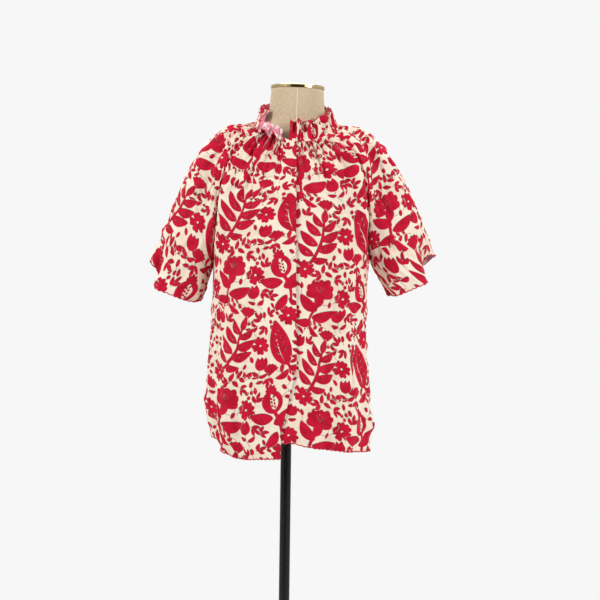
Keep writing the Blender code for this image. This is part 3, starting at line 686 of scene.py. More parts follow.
def solid_relief(piece, share, angle, along, from_seams):
    """How far the solid's own gathers, folds and creases stand out of the smooth surface.

    The folds end at the seams, where the two pieces meet.
    """
    free = ease(from_seams / SEAM_REACH)
    phase = gather_phase(share)
    uneven = np.sin(2 * np.pi * (2.3 * phase + piece.gathers / 7)) * np.sin(np.pi * phase)
    gather = curve_at(DEPTHS, "along", "gather", along) * (1 + 0.35 * uneven)
    fold = curve_at(DEPTHS, "along", "fold", along)
    if is_body(piece):
        fold = fold + curve_at(DEPTHS, "along", "flute", along)
    out = -gather * np.cos(2 * np.pi * piece.gathers * phase)
    out = out - fold * np.cos(2 * np.pi * piece.folds * share) * free
    for crease in CREASES[piece.name]:
        k = (along - crease.top) / (crease.end - crease.top)
        centre = crease.top_angle + (crease.end_angle - crease.top_angle) * k
        side = ((angle - centre) / crease.width) ** 2
        out = out - crease.depth * ease(k * 8) * ease((1 - k) * 1.6) * np.exp(-side) * free
    return out


def fine_relief(piece, share, along, across, down, from_seams):
    """Finer uneven gathers, tucks at the elastic, seam puckers and soft crumples."""
    free = ease(from_seams / SEAM_FREE)
    spread = share * piece.gathers
    sharp = np.sin(2 * np.pi * (FINE_PER_GATHER * spread + 0.35 * ripple(spread * 0.4, piece.seed)))
    height = 1 + 0.6 * ripple(spread * 0.7, piece.seed + 10)
    reach = FINE_FADE * (1 + 0.5 * ripple(spread * 0.9, piece.seed + 20))
    fade = np.exp(-(along / np.maximum(reach, 0.04)) ** 2)
    out = FINE_GATHER * sharp * height * fade * ease(along / 0.03)
    tucks = np.sin(2 * np.pi * (TUCKS_PER_GATHER * spread + 0.3 * ripple(spread, piece.seed + 30)))
    out += TUCK * tucks * np.exp(-along / 0.045) * ease(along / 0.012)
    turns = VALLEYS_PER_GATHER * spread + 0.42 * ripple(spread * 0.5, piece.seed + 80)
    valley = 1 - np.abs(np.sin(np.pi * turns))
    deep = np.clip(1 + 0.8 * ripple(spread * 0.8, piece.seed + 90), 0.15, 2.0)
    out -= VALLEY * valley ** 2.2 * deep * np.exp(-(along / 0.20) ** 1.5) * ease(along / 0.02)
    out += CRUMPLE * crumple(across, down, CRUMPLE_SCALE, piece.seed + 40)
    lines = crumple(across, down, LINEN_CREASE_SCALE, piece.seed + 100)
    broken = np.clip(0.25 + crumple(across, down, LINEN_BREAK_SCALE, piece.seed + 110), 0, 1.4)
    out -= LINEN_CREASE * np.exp(-(lines / 0.20) ** 2) * broken * ease(along / 0.15)
    out += CRUMPLE * 0.45 * crumple(across, down, FINE_CRUMPLE_SCALE, piece.seed + 50)
    hem = ease(1 - (2 - along) / 0.12)
    out += HEM_RIPPLE * hem * ripple(across / HEM_RIPPLE_LENGTH, piece.seed + 60)
    puckers = down / PUCKER_LENGTH + 0.2 * ripple(down / 0.03, piece.seed + 70)
    pucker = SEAM_PUCKER * np.sin(2 * np.pi * puckers)
    return out * free + pucker * np.exp(-from_seams / 0.006) * ease(from_seams / 0.003)


def beside(mark, points):
    """Share of the way along a laid mark, distance to its side and its length, seen from the front."""
    start, end = np.array([mark.x0, mark.z0]), np.array([mark.x1, mark.z1])
    run = end - start
    length = np.linalg.norm(run)
    offset = points[..., [0, 2]] - start
    return offset @ run / length ** 2, (offset[..., 0] * run[1] - offset[..., 1] * run[0]) / length, length


def laid_folds(piece, points):
    """Depth of the listed folds, by a point's place seen from the front or the back."""
    out = np.zeros(points.shape[:-1])
    for fold in FOLDS[piece.name]:
        k, aside, length = beside(fold, points)
        bend = aside - 0.05 * length * np.sin(np.pi * np.clip(k, 0, 1))
        out -= fold.depth * np.exp(-(bend / fold.width) ** 2) * (ease(k / 0.25) * ease((1 - k) / 0.35))
    return out


def pressed_laps(piece, points):
    """Depth of the folds with one steep side, and the cloth that lies hidden in them.

    The reach is the gentle side's, signed.
    """
    out = np.zeros(points.shape[:-1])
    hidden = np.zeros(points.shape[:-1])
    for lap in LAPS[piece.name]:
        k, aside, _ = beside(lap, points)
        aside = (aside + 0.0010 * np.sin(9 * k + 40 * lap.x0)) * math.copysign(1, lap.reach)
        gentle = ease(1 - aside / abs(lap.reach))
        shape = np.where(aside > 0, gentle, ease(1 + aside / lap.steep))
        fade = ease(k / 0.12) * ease((1 - k) / 0.45)
        out -= lap.depth * shape * fade
        hidden += math.copysign(LAP_HIDES, lap.reach) * fade * (aside > 0)
    return out, hidden


def layer_drop(piece, base):
    """The left front steps under the right front along the placket."""
    if piece.start is not None:
        return 0.0
    beyond = base[..., 0] - curve_at(PLACKET_EDGE, "height", "x", base[..., 2])
    return LAYER_DROP * (1 - ease((beyond - PLACKET_BESIDE) / PLACKET_RAMP))


def running(points, axis):
    """Length along a row or a column of points, starting at 0."""
    steps = np.linalg.norm(np.diff(points, axis=axis), axis=-1)
    pad = [(0, 0), (0, 0)]
    pad[axis] = (1, 0)
    return np.cumsum(np.pad(steps, pad), axis=axis)


def cloth_sheet(piece):
    """Outer points of a piece, rows from the neck down, with their flat measures."""
    upper = np.linspace(0, 1, UPPER_STEPS + 1)
    lower = np.linspace(1, 2, piece.lower_steps + 1)[1:]
    rows = np.concatenate([upper, lower])
    main = np.linspace(0, 1, piece.columns + 1)
    if piece.end is None:
        main = np.concatenate([main, np.linspace(1, 2, piece.band + 1)[1:]])
    if piece.start is None:
        main = np.concatenate([np.linspace(-1, 0, piece.band + 1)[:-1], main])
    share, along = np.meshgrid(main, rows)
    hem = RIGHT_HEM.get(piece.name)
    angle = share_angle(piece, share, along)
    base = base_point(angle, along, hem)
    middle = base.shape[1] // 2
    across = running(base, 1)
    across = across - across[:, middle:middle + 1]
    full = int(np.searchsorted(rows, GATHERED_UNTIL))
    across[:full] = across[full]
    down = np.broadcast_to(running(base, 0)[:, middle:middle + 1], share.shape)
    edges = []
    if piece.start is not None:
        edges.append(running(base, 1))
    if piece.end is not None:
        edges.append(running(base[:, ::-1], 1)[:, ::-1])
    from_seams = np.minimum.reduce(edges)
    normal = outward(angle, along, hem)
    out = solid_relief(piece, share, angle, along, from_seams)
    out = out + fine_relief(piece, share, along, across, down, from_seams)
    laps, hidden = pressed_laps(piece, base)
    across = across + hidden * calm(piece, share)
    out = out + (laid_folds(piece, base) + laps) * ease(from_seams / 0.01)
    out = out * calm(piece, share)
    out = out - SEAM_DIP * np.exp(-(from_seams / SEAM_DIP_WIDTH) ** 2)
    out = out - placket_relief(piece, share, along, down)
    out = out - layer_drop(piece, base)
    points = base + normal * out[..., None]
    points = softened(points, rows, from_seams)
    return scalloped(points), across, down


def placket_relief(piece, share, along, down):
    """Stitch line of the placket's band and the slight waves of its free edge."""
    if piece.end is not None:
        return 0.0
    stitch = STITCH_DIP * np.exp(-((share - 1.06) / 0.05) ** 2)
    wave = BAND_WAVE * ease(share - 1) * ripple(down / 0.06, 80)
    return np.where(share > 0.8, stitch + wave, 0.0)


def softened(points, rows, from_seams):
    """Rounds the surface where the upper ribs meet the lower ones."""
    kernel = np.hanning(2 * SOFT_ROWS + 3)[1:-1]
    kernel = kernel / kernel.sum()
    padded = np.concatenate([points[:1].repeat(SOFT_ROWS, 0), points, points[-1:].repeat(SOFT_ROWS, 0)])
    smooth = sum(weight * padded[i:i + len(points)] for i, weight in enumerate(kernel))
    near = np.exp(-((rows - 1) / 0.09) ** 2)[:, None]
    weight = near * ease(from_seams / 0.02)
    return points + (smooth - points) * weight[..., None]


def scalloped(points):
    """Draws the lower edge down into small rounded scallops."""
    columns = np.arange(points.shape[1])
    lobe = np.abs(np.sin(np.pi * columns / SCALLOP_COLUMNS)) ** 0.8
    down = unit(points[-1] - points[-1 - SCALLOP_REACH])
    weight = ease(1 - np.arange(SCALLOP_REACH + 1) / SCALLOP_REACH)[:, None, None]
    moved = points.copy()
    for row in range(SCALLOP_REACH + 1):
        moved[-1 - row] += down * (SCALLOP_DEPTH * (lobe - 0.5))[:, None] * weight[row]
    return moved


# Print. A repeat of flowering plants, worked out on a fine grid of the repeat and then read
# at each point of the cloth. Millimetres, X across and Y up the cloth.
TILE_WIDTH = 236.0
TILE_HEIGHT = 284.0
TILE_CELL = 0.5
INK_REACH = 7.0
STEM_REACH = 6.0


class Repeat:
    """Signed distances to the motifs' edges and to the stems over one repeat."""

    def __init__(self):
        self.columns = round(TILE_WIDTH / TILE_CELL)
        self.rows = round(TILE_HEIGHT / TILE_CELL)
        self.ink, self.stem, self.aside = (
            np.full((self.rows, self.columns), reach) for reach in (INK_REACH, STEM_REACH, STEM_REACH)
        )

    def window(self, x, y, reach):
        """Indices of the cells round a point, and their places, wrapped round the repeat."""
        columns = np.arange(math.floor((x - reach) / TILE_CELL), math.ceil((x + reach) / TILE_CELL))
        rows = np.arange(math.floor((y - reach) / TILE_CELL), math.ceil((y + reach) / TILE_CELL))
        across, up = np.meshgrid(columns * TILE_CELL, rows * TILE_CELL)
        return np.ix_(rows % self.rows, columns % self.columns), across, up

    def fill(self, x, y, reach, distance):
        cells, across, up = self.window(x, y, reach + INK_REACH)
        self.ink[cells] = np.minimum(self.ink[cells], distance(across, up))

    def cut(self, x, y, reach, distance):
        cells, across, up = self.window(x, y, reach + INK_REACH)
        self.ink[cells] = np.maximum(self.ink[cells], -distance(across, up))

    def line(self, points):
        """A thin stem along a chain of points."""
        for (x0, y0), (x1, y1) in zip(points, points[1:]):
            length = math.hypot(x1 - x0, y1 - y0)
            run = ((x1 - x0) / length, (y1 - y0) / length)
            cells, across, up = self.window((x0 + x1) / 2, (y0 + y1) / 2, length / 2 + STEM_REACH)
            along = (across - x0) * run[0] + (up - y0) * run[1]
            aside = (across - x0) * run[1] - (up - y0) * run[0]
            beyond = np.maximum(np.maximum(-along, along - length), 0)
            gap = np.hypot(aside, beyond)
            closer = gap < self.stem[cells]
            self.stem[cells] = np.where(closer, gap, self.stem[cells])
            self.aside[cells] = np.where(closer, np.clip(aside, -STEM_REACH, STEM_REACH), self.aside[cells])

    def edge_side(self):
        """1 where a motif's edge faces up and to the left, -1 where it faces away."""
        rise, run = np.gradient(self.ink, TILE_CELL)
        return 0.85 * rise - 0.53 * run

    def read(self, field, across, up):
        """Value of a field at points of the cloth, in millimetres."""
        column = across / TILE_CELL
        row = up / TILE_CELL
        left, low = np.floor(column).astype(int), np.floor(row).astype(int)
        k, m = column - left, row - low
        c0, c1 = left % self.columns, (left + 1) % self.columns
        r0, r1 = low % self.rows, (low + 1) % self.rows
        lower = field[r0, c0] * (1 - k) + field[r0, c1] * k
        upper = field[r1, c0] * (1 - k) + field[r1, c1] * k
        return lower * (1 - m) + upper * m


class Pen:
    """Draws motifs on a repeat from a place, at an angle, mirrored or not."""

    def __init__(self, repeat, x, y, turn=0.0, size=1.0, mirror=False):
        self.repeat, self.x, self.y, self.size = repeat, x, y, size
        self.turn = math.radians(turn)
        self.flip = -1 if mirror else 1

    def place(self, x, y):
        x, y = x * self.flip * self.size, y * self.size
        cosine, sine = math.cos(self.turn), math.sin(self.turn)
        return self.x + x * cosine - y * sine, self.y + x * sine + y * cosine

    def heading(self, angle):
        """Direction of an angle of the motif, 0 being up and 90 to its right."""
        turn = math.radians(90 - angle)
        x, y = math.cos(turn) * self.flip, math.sin(turn)
        cosine, sine = math.cos(self.turn), math.sin(self.turn)
        return x * cosine - y * sine, x * sine + y * cosine

    def measured(self, x, y, angle):
        """A place, a direction, and a function for the way along it and the distance to its side."""
        x0, y0 = self.place(x, y)
        ahead = self.heading(angle)

        def split(across, up):
            return ((across - x0) * ahead[0] + (up - y0) * ahead[1],
                    (across - x0) * ahead[1] - (up - y0) * ahead[0])

        return (x0, y0), ahead, split

    def blade(self, x, y, angle, length, width, shape="leaf", bend=0.0, cut=False):
        """Leaf, petal or bar from a point of the motif, in a direction."""
        (x0, y0), ahead, split = self.measured(x, y, angle)
        length, width, bend = length * self.size, width * self.size, bend * self.size * self.flip

        def distance(across, up):
            along, aside = split(across, up)
            k = np.clip(along / length, 0, 1)
            aside = aside - bend * 4 * k * (1 - k)
            if shape == "leaf":
                half = width / 2 * np.sin(np.pi * k ** 0.85) ** 0.75
            elif shape == "petal":
                round_end = np.sqrt(1 - np.clip((k - 0.76) / 0.24, 0, 1) ** 2)
                half = width / 2 * (0.22 + 0.78 * np.sin(np.pi * 0.5 * np.minimum(k * 1.35, 1))) * round_end
            else:
                half = width / 2 * (1 - 0.45 * k)
            beyond = np.maximum(np.maximum(-along, along - length), 0)
            return np.hypot(np.maximum(np.abs(aside) - half, 0), beyond) + np.minimum(np.abs(aside) - half, 0)

        draw = self.repeat.cut if cut else self.repeat.fill
        draw(x0 + ahead[0] * length / 2, y0 + ahead[1] * length / 2, length / 2 + width + abs(bend), distance)

    def leaves(self, *rows):
        """A leaf for each row of x, y, angle, length, width and perhaps bend."""
        for *row, width, bend in (row if len(row) == 6 else (*row, 0.0) for row in rows):
            self.blade(*row, width, bend=bend)

    def disc(self, x, y, width, height=None, angle=0.0, cut=False):
        place, _, split = self.measured(x, y, angle)
        half_width = width * self.size / 2
        half_height = (height or width) * self.size / 2

        def distance(across, up):
            along, aside = split(across, up)
            return (np.hypot(along / half_height, aside / half_width) - 1) * min(half_width, half_height)

        draw = self.repeat.cut if cut else self.repeat.fill
        draw(*place, max(half_width, half_height), distance)

    def fan(self, x, y, angle, spread, radius, lobes, notch=0.07):
        """Open fan with a scalloped outer edge, such as a half flower."""
        place, _, split = self.measured(x, y, angle)
        radius = radius * self.size
        half = math.radians(spread / 2)

        def distance(across, up):
            along, aside = split(across, up)
            away = np.hypot(along, aside)
            turn = np.abs(np.arctan2(aside, along))
            rim = radius * (1 - notch * (1 - np.abs(np.sin(turn / half * lobes * np.pi / 2))))
            return np.maximum(away - rim, away * np.sin(np.minimum(turn - half, np.pi / 2)))

        self.repeat.fill(*place, radius, distance)

    def stem(self, *points):
        """Thin stem through points of the motif, as a smooth chain."""
        points = np.array([self.place(x, y) for x, y in points])
        at = np.arange(len(points))
        fine = np.linspace(0, len(points) - 1, 4 * len(points))
        chain = [(curve_through(at, points[:, 0], k), curve_through(at, points[:, 1], k)) for k in fine]
        self.repeat.line(chain)


def curve_through(keys, values, at):
    """Smooth value between the values at whole keys."""
    i = min(int(at), len(values) - 2)
    k = at - i
    before, after = values[max(i - 1, 0)], values[min(i + 2, len(values) - 1)]
    leaving, arriving = (values[i + 1] - before) / 2, (after - values[i]) / 2
    return hermite(values[i], values[i + 1], leaving, arriving, k)


def carnation(pen):
    """Notched flower on a leafy stalk."""
    for angle, length in ((-70, 30), (-47, 37), (-24, 41), (0, 38), (23, 42), (46, 37), (70, 31)):
        pen.blade(0, 14, angle, length, 15, "petal")
    for angle in (-35, -12, 12, 35):
        pen.blade(0, 23, angle, 27, 1.6, cut=True)
    pen.blade(0, 4, 184, 58, 7, "bar", bend=5)
    pen.stem((10, 0), (30, 4), (38, 14))
    pen.stem((-30, 14), (-38, 22), (-39, 32))
    pen.leaves((0, -5, 0, 30, 19), (37, 12, 20, 16, 7.5), (-1, -14, -50, 50, 22, -4),
               (-2, -27, 70, 52, 23, 5), (-2, -36, -98, 40, 18, -3), (-3, -47, 128, 28, 12, 5),
               (-39, 30, -8, 14, 6.5))


def pomegranate(pen):
    """Split round fruit with a short crown, on a bent stalk with three leaves."""
    pen.disc(0, 18, 42, 45)
    pen.leaves((0, 34, -48, 15, 8.5), (0, 34, -24, 19, 8.5), (0, 34, 0, 21, 8.5), (0, 34, 24, 19, 8.5),
               (0, 34, 48, 15, 8.5))
    pen.blade(2, 1, -4, 34, 17, bend=3, cut=True)
    for i in range(7):
        pen.disc(1.5 + 2.6 * (-1) ** i, 7 + 3.5 * i, 3.0, 4.4, 30 * (-1) ** i)
    pen.blade(0, 0, 176, 56, 7.5, "bar", bend=-6)
    pen.leaves((-4, -14, -70, 48, 22, -4), (-4, -26, 62, 54, 24, 4), (-1, -42, -124, 42, 18, -3),
               (1, -50, 128, 24, 10, 4), (-31, 42, -6, 14, 7), (37, 30, 84, 14, 7))
    pen.stem((-20, 24), (-30, 32), (-31, 44))
    pen.stem((20, 24), (30, 30), (38, 30))


def broad_leaf(pen):
    """Large leaf with pale veins and a curled stalk."""
    pen.blade(0, -40, 0, 92, 46, bend=5)
    pen.blade(1, -40, 2, 74, 2.4, bend=5, cut=True)
    for i in range(4):
        y = -20 + 14 * i
        pen.blade(4, y, 48 - 3 * i, 22 - 2.4 * i, 1.8, cut=True)
        pen.blade(1, y + 3, -48 + 3 * i, 20 - 2.4 * i, 1.8, cut=True)
    pen.blade(1, -34, 186, 24, 6, "bar", bend=3)
    pen.leaves((-1, -46, -96, 34, 14, -5), (0, -50, 104, 30, 12, 5))


def frond(pen):
    """Bent branch with broad leaves set by turns on its two sides."""
    pen.blade(-6, -52, 6, 96, 6.5, "bar", bend=7)
    for x, y, angle, length, width in (
        (-5, -44, 78, 34, 14), (-4, -36, -62, 40, 17), (1, -24, 60, 46, 19), (0, -15, -58, 46, 19),
        (5, -3, 52, 44, 18), (3, 7, -52, 42, 17), (6, 18, 42, 36, 15), (4, 26, -40, 32, 14),
    ):
        pen.blade(x, y, angle, length, width, bend=math.copysign(4, angle))
        pen.blade(x, y, angle, length * 0.72, 1.5, bend=math.copysign(3, angle), cut=True)
    pen.blade(5, 34, 6, 30, 13)


def daisy(pen, petals=10, length=20.0, width=8.0):
    for i in range(petals):
        pen.blade(0, 0, FULL_TURN * i / petals + 6 * math.sin(3 * i), length + 1.6 * math.sin(5 * i), width,
                  "petal")
    pen.disc(0, 0, 5.6, cut=True)


def tulip(pen):
    pen.leaves((0, 0, -20, 29, 14, -2), (0, 0, 20, 29, 14, 2), (0, 1, 0, 27, 12), (-1, -10, -62, 18, 7.5, -2),
               (1, -15, 66, 20, 7.5, 2))
    pen.stem((0, 1), (-2, -12), (3, -24))


def half_flower(pen):
    pen.fan(0, 0, 8, 100, 26, 5, 0.09)
    pen.stem((0, 0), (-5, -7), (-13, -9))
    pen.blade(-12, -9, -96, 15, 6.5)


def twig(pen):
    pen.stem((0, 0), (3, 14), (1, 28), (5, 42))
    pen.leaves((5, 40, 8, 18, 8), (2, 8, -52, 18, 7.4), (3, 13, 56, 18, 7.4), (2, 23, -44, 17, 7.4),
               (3, 28, 52, 16, 7.4))


def sprig(pen):
    pen.stem((0, 0), (7, 8), (17, 10))
    pen.leaves((0, 0, -30, 23, 8.5, 2), (16, 10, 66, 20, 8.5, -2), (8, 8, 14, 15, 6.5))


def seed(pen):
    pen.disc(0, 0, 6.4, 10.5)
    pen.stem((0, -4), (2, -10))


def berries(pen):
    pen.disc(-6, 4, 8)
    pen.disc(5, 6, 8)
    pen.disc(0, -5, 7)
    pen.stem((-6, 4), (0, -12), (5, 6))


def leaflets(pen):
    pen.stem((0, -9), (1, 0), (-1, 8))
    pen.leaves((0, -7, -42, 19, 8.5, -1), (0, -5, 44, 18, 8, 1), (0, 1, 4, 17, 7.5))


# Places of each kind of motif, in the order they are laid: x, y, turn, and perhaps size and mirror
MOTIFS = (
    (seed, (10, 108, 40), (88, 160, -20), (226, 128, 80), (150, 4, 10), (214, 158, -50), (72, 150, 30),
     (92, 276, 70), (8, 158, -30), (160, 272, 60), (228, 262, 0)),
    (berries, (116, 100, 0), (4, 206, 30), (146, 248, -20)),
    (sprig, (96, 128, -10), (178, 146, 20, 1.0, True), (22, 280, 10, 0.9)),
    (twig, (52, 126, -64, 1.15), (196, 122, -20, 0.9), (222, 176, 12, 1.1, True), (106, 226, 24, 1.0, True)),
    (sprig, (206, 236, -20, 1.1)),
    (twig, (82, 8, 80, 0.85)),
    (half_flower, (150, 140, 10), (84, 262, -14, 1.0, True), (8, 18, 40, 0.95)),
    (tulip, (112, 20, 14), (226, 92, -14, 1.0, True), (126, 152, 4), (8, 252, -20)),
    (daisy, (112, 70, 0, 1.05), (232, 46, 14, 1.05), (24, 140, 8, 1.05), (186, 266, 20, 1.05),
     (118, 204, 20)),
    (carnation, (54, 60, -8, 1.05)),
    (pomegranate, (172, 68, 14, 1.04)),
    (frond, (56, 204, -16, 1.06)),
    (broad_leaf, (174, 204, 20, 1.08, True)),
)
MOTIF_GAP = 2.2
FILL_INS = 22
FILL_BLUR = 5.5
GOLDEN_ANGLE = 137.5


def add_motif(repeat, draw, *place):
    """Lays a motif over the others, with a narrow gap cleared round it."""
    own = Repeat()
    draw(Pen(own, *place))
    repeat.ink = np.minimum(np.maximum(repeat.ink, MOTIF_GAP - own.ink), own.ink)
    clear = (own.ink > 0.8) & (own.stem < repeat.stem)
    repeat.stem = np.where(own.ink < MOTIF_GAP, STEM_REACH, repeat.stem)
    repeat.aside = np.where(clear, own.aside, repeat.aside)
    repeat.stem = np.where(clear, own.stem, repeat.stem)


def emptiest_place(repeat):
    """Middle of the widest bare patch of the repeat."""
    rates = np.hypot(*np.meshgrid(np.fft.fftfreq(repeat.columns), np.fft.fftfreq(repeat.rows)))
    blur = np.exp(-2 * (np.pi * rates * FILL_BLUR / TILE_CELL) ** 2)
    smooth = np.fft.ifft2(np.fft.fft2(repeat.ink) * blur).real
    row, column = np.unravel_index(np.argmax(smooth), smooth.shape)
    return column * TILE_CELL, row * TILE_CELL


def printed_repeat():
    """All motifs on one repeat, with small leaves where it is still bare."""
    repeat = Repeat()
    for draw, *places in MOTIFS:
        for place in places:
            add_motif(repeat, draw, *place)
    for i in range(FILL_INS):
        x, y = emptiest_place(repeat)
        draw, size = (leaflets, 0.9) if i % 3 else (seed, 1.15)
        add_motif(repeat, draw, x, y, GOLDEN_ANGLE * i, size)
    return repeat


# Where the repeat lies on each piece, in metres across and up
PRINT_SHIFT = {
    "front_right": (0.062, 0.115),
    "front_left": (0.118, 0.148),
    "back": (0.030, 0.060),
    "sleeve_left": (0.148, 0.030),
    "sleeve_right": (0.020, 0.190),
    "neck_ruffle": (0.052, 0.066),
}


def add_print(mesh, repeat, name, across, up):
    """Keeps the print's distances at each point, in millimetres."""
    shift = PRINT_SHIFT[name]
    x, y = (across + shift[0]) * 1000, (up + shift[1]) * 1000
    fields = (("ink", repeat.ink), ("stem", repeat.stem), ("stem_side", repeat.aside),
              ("edge_side", repeat.edge_side()))
    for attribute, field in fields:
        made = mesh.attributes.new(attribute, "FLOAT", "POINT")
        made.data.foreach_set("value", repeat.read(field, x, y).astype(np.float32).ravel())


def grid_normals(points):
    down = np.gradient(points, axis=0)
    across = np.gradient(points, axis=1)
    return unit(np.cross(down, across))


def nearby_dip(points, normals, reach):
    """How far the cloth dips near each point, so that the coarser inner face stays below it."""
    rows, columns = points.shape[:2]
    deepest = np.zeros((rows, columns))
    padded = np.pad(points, ((reach, reach), (reach, reach), (0, 0)), mode="edge")
    for i in range(2 * reach + 1):
        for j in range(2 * reach + 1):
            near = padded[i:i + rows, j:j + columns]
            deepest = np.maximum(deepest, ((points - near) * normals).sum(axis=2))
    deepest[[0, -1]] = 0
    deepest[:, [0, -1]] = 0
    return np.minimum(deepest, DIP_LIMIT)


def shell_mesh(name, points, thickness, coarse):
    """Closed thin shell: the outer grid, a coarser inner grid and the rim between them.

    The inner face's polygons take the second material slot.
    """
    rows, columns = points.shape[:2]
    normals = grid_normals(points)
    inner_rows = np.arange(0, rows, coarse)
    inner_columns = np.arange(0, columns, coarse)
    depth = thickness + nearby_dip(points, normals, coarse - 1)
    inner = (points - normals * depth[..., None])[np.ix_(inner_rows, inner_columns)]
    outer_at = np.arange(rows * columns).reshape(rows, columns)
    inner_at = rows * columns + np.arange(inner.shape[0] * inner.shape[1]).reshape(inner.shape[:2])
    outer_faces = quads(outer_at)
    inner_faces = quads(inner_at)[:, ::-1]
    faces = outer_faces.tolist() + inner_faces.tolist() + rim_faces(outer_at, inner_at, coarse)
    mesh = bpy.data.meshes.new(name)
    mesh.from_pydata(np.vstack([points.reshape(-1, 3), inner.reshape(-1, 3)]).tolist(), [], faces)
    slots = np.zeros(len(faces), np.int32)
    slots[len(outer_faces):len(outer_faces) + len(inner_faces)] = 1
    mesh.polygons.foreach_set("material_index", slots)
    mesh.shade_smooth()
    return mesh, inner_rows, inner_columns


def quads(at):
    """Faces of a grid of point numbers."""
    return np.stack([at[:-1, :-1], at[1:, :-1], at[1:, 1:], at[:-1, 1:]], axis=-1).reshape(-1, 4)


def rim_faces(outer_at, inner_at, coarse):
    """Faces that join the edges of the outer and the inner grid."""
    faces = []
    edges = [
        (outer_at[0, ::-1], inner_at[0, ::-1]),
        (outer_at[:, 0], inner_at[:, 0]),
        (outer_at[-1], inner_at[-1]),
        (outer_at[::-1, -1], inner_at[::-1, -1]),
    ]
    for outer, inner in edges:
        for i in range(len(inner) - 1):
            span = outer[i * coarse:(i + 1) * coarse + 1].tolist()
            faces.append(span[::-1] + [int(inner[i]), int(inner[i + 1])])
    return faces


def add_uv(mesh, across, up):
    """Cloth measures in metres as the UV map."""
    layer = mesh.uv_layers.new(name="cloth")
    corners = np.empty(len(mesh.loops), np.int32)
    mesh.loops.foreach_get("vertex_index", corners)
    uv = np.column_stack([across[corners], up[corners]]).astype(np.float32)
    layer.data.foreach_set("uv", uv.ravel())


def with_inner(values, inner_rows, inner_columns):
    """Values of a grid's points, followed by those of its inner face."""
    return np.concatenate([values.ravel(), values[np.ix_(inner_rows, inner_columns)].ravel()])


LEAN = (
    Matrix.Translation((0, 0, LEAN_HEIGHT))
    @ Matrix.Rotation(math.radians(LEAN_DEG), 4, "Y")
    @ Matrix.Translation((0, 0, -LEAN_HEIGHT))
)


def placed(name, mesh, materials, slot, *nodes):
    """Adds a piece that rides on the root, leaning with the form."""
    mesh.transform(LEAN)
    for material in materials:
        mesh.materials.append(material)
    piece = bpy.data.objects.new(name, mesh)
    bpy.context.scene.collection.objects.link(piece)
    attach(piece, "root")
    if nodes:
        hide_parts(*nodes)
    return piece


def lofted(name, rings):
    """Closed surface through rings of points, with flat ends."""
    at = np.arange(rings.shape[0] * rings.shape[1]).reshape(rings.shape[:2])
    faces = quads(np.column_stack([at, at[:, 0]])).tolist() + [at[0].tolist(), at[-1][::-1].tolist()]
    mesh = bpy.data.meshes.new(name)
    mesh.from_pydata(rings.reshape(-1, 3).tolist(), [], faces)
    mesh.shade_smooth()
    return mesh


def tube_mesh(name, chain, radius):
    """Thin thread round a chain of points."""
    tangent = unit(np.gradient(chain, axis=0))
    first = unit(np.cross(tangent, np.array([0.0, 0.0, 1.0])) + 1e-9)
    second = np.cross(tangent, first)
    turn = 2 * np.pi * np.arange(TUBE_SIDES) / TUBE_SIDES
    ring = np.cos(turn)[None, :, None] * first[:, None] + np.sin(turn)[None, :, None] * second[:, None]
    return lofted(name, chain[:, None] + ring * np.asarray(radius).reshape(-1, 1, 1))


def refined(chain, times):
    """A chain with more points, on a smooth curve through the first ones."""
    fine = np.linspace(0, len(chain) - 1, (len(chain) - 1) * times + 1)
    i = np.minimum(fine.astype(int), len(chain) - 2)
    k = (fine - i)[:, None]
    padded = np.vstack([chain[:1], chain, chain[-1:]])
    before, start, end, after = (padded[i + step] for step in range(4))
    return hermite(start, end, (end - before) / 2, (after - start) / 2, k)


def edge_thread(name, edge):
    """Red overlock thread wrapped round a free edge."""
    chain = refined(edge, 2)
    bumps = 1 + 0.14 * np.cos(np.pi * np.arange(len(chain)))
    return tube_mesh(name, chain, THREAD_RADIUS * bumps)


Fabric = namedtuple("Fabric", "repeat cotton wrong_side thread")


def cloth_piece(name, points, across, up, coarse, edge, fabric):
    """The shell of a printed piece and the thread round its free edge."""
    mesh, inner_rows, inner_columns = shell_mesh(name, points, CLOTH, coarse)
    across = with_inner(across, inner_rows, inner_columns)
    up = with_inner(up, inner_rows, inner_columns)
    add_uv(mesh, across, up)
    add_print(mesh, fabric.repeat, name, across, up)
    shown = placed("cloth_" + name, mesh, [fabric.cotton, fabric.wrong_side], "printed_cotton", name)
    rolled = placed("edge_" + name, edge_thread("edge_" + name, edge), [fabric.thread], "printed_cotton")
    return shown, rolled


def make_blouse(fabric):
    for piece in PIECES:
        points, across, down = cloth_sheet(piece)
        edge = points[-1] + (points[-2] - points[-1]) * 0.2
        shown, rolled = cloth_piece(piece.name, points, across, -down, COARSE, edge, fabric)


def ruffle_profile(angle, height):
    """How far out and up the ruffle's middle surface is, and its slope, at a height along it."""
    out = np.zeros_like(angle)
    up = np.zeros_like(angle)
    flop = ease((angle - FLOP_START) / (FLOP_FULL - FLOP_START))
    away = np.abs(signed(angle))
    casing = curve_at(RUFFLE_LEAN, "angle", "casing", away)
    top = curve_at(RUFFLE_LEAN, "angle", "ruffle", away)
    drawn_in = FLOP_NOTCH * 4 * flop * (1 - flop)
    height = height - np.maximum(height - CASING_HEIGHT, 0) * drawn_in
    for i in range(PROFILE_STEPS):
        at = height * (i + 0.5) / PROFILE_STEPS
        lean = casing + (top - casing) * ease(at / (2 * CASING_HEIGHT))
        flat = FLOP_START_DEG + (FLOP_END_DEG - FLOP_START_DEG) * flop
        lean = lean + (flat - lean) * flop * ease((at - FLOP_FROM) / (FLOP_TO - FLOP_FROM))
        slope = np.radians(lean)
        out += np.cos(slope) * height / PROFILE_STEPS
        up += np.sin(slope) * height / PROFILE_STEPS
    return out, up, slope


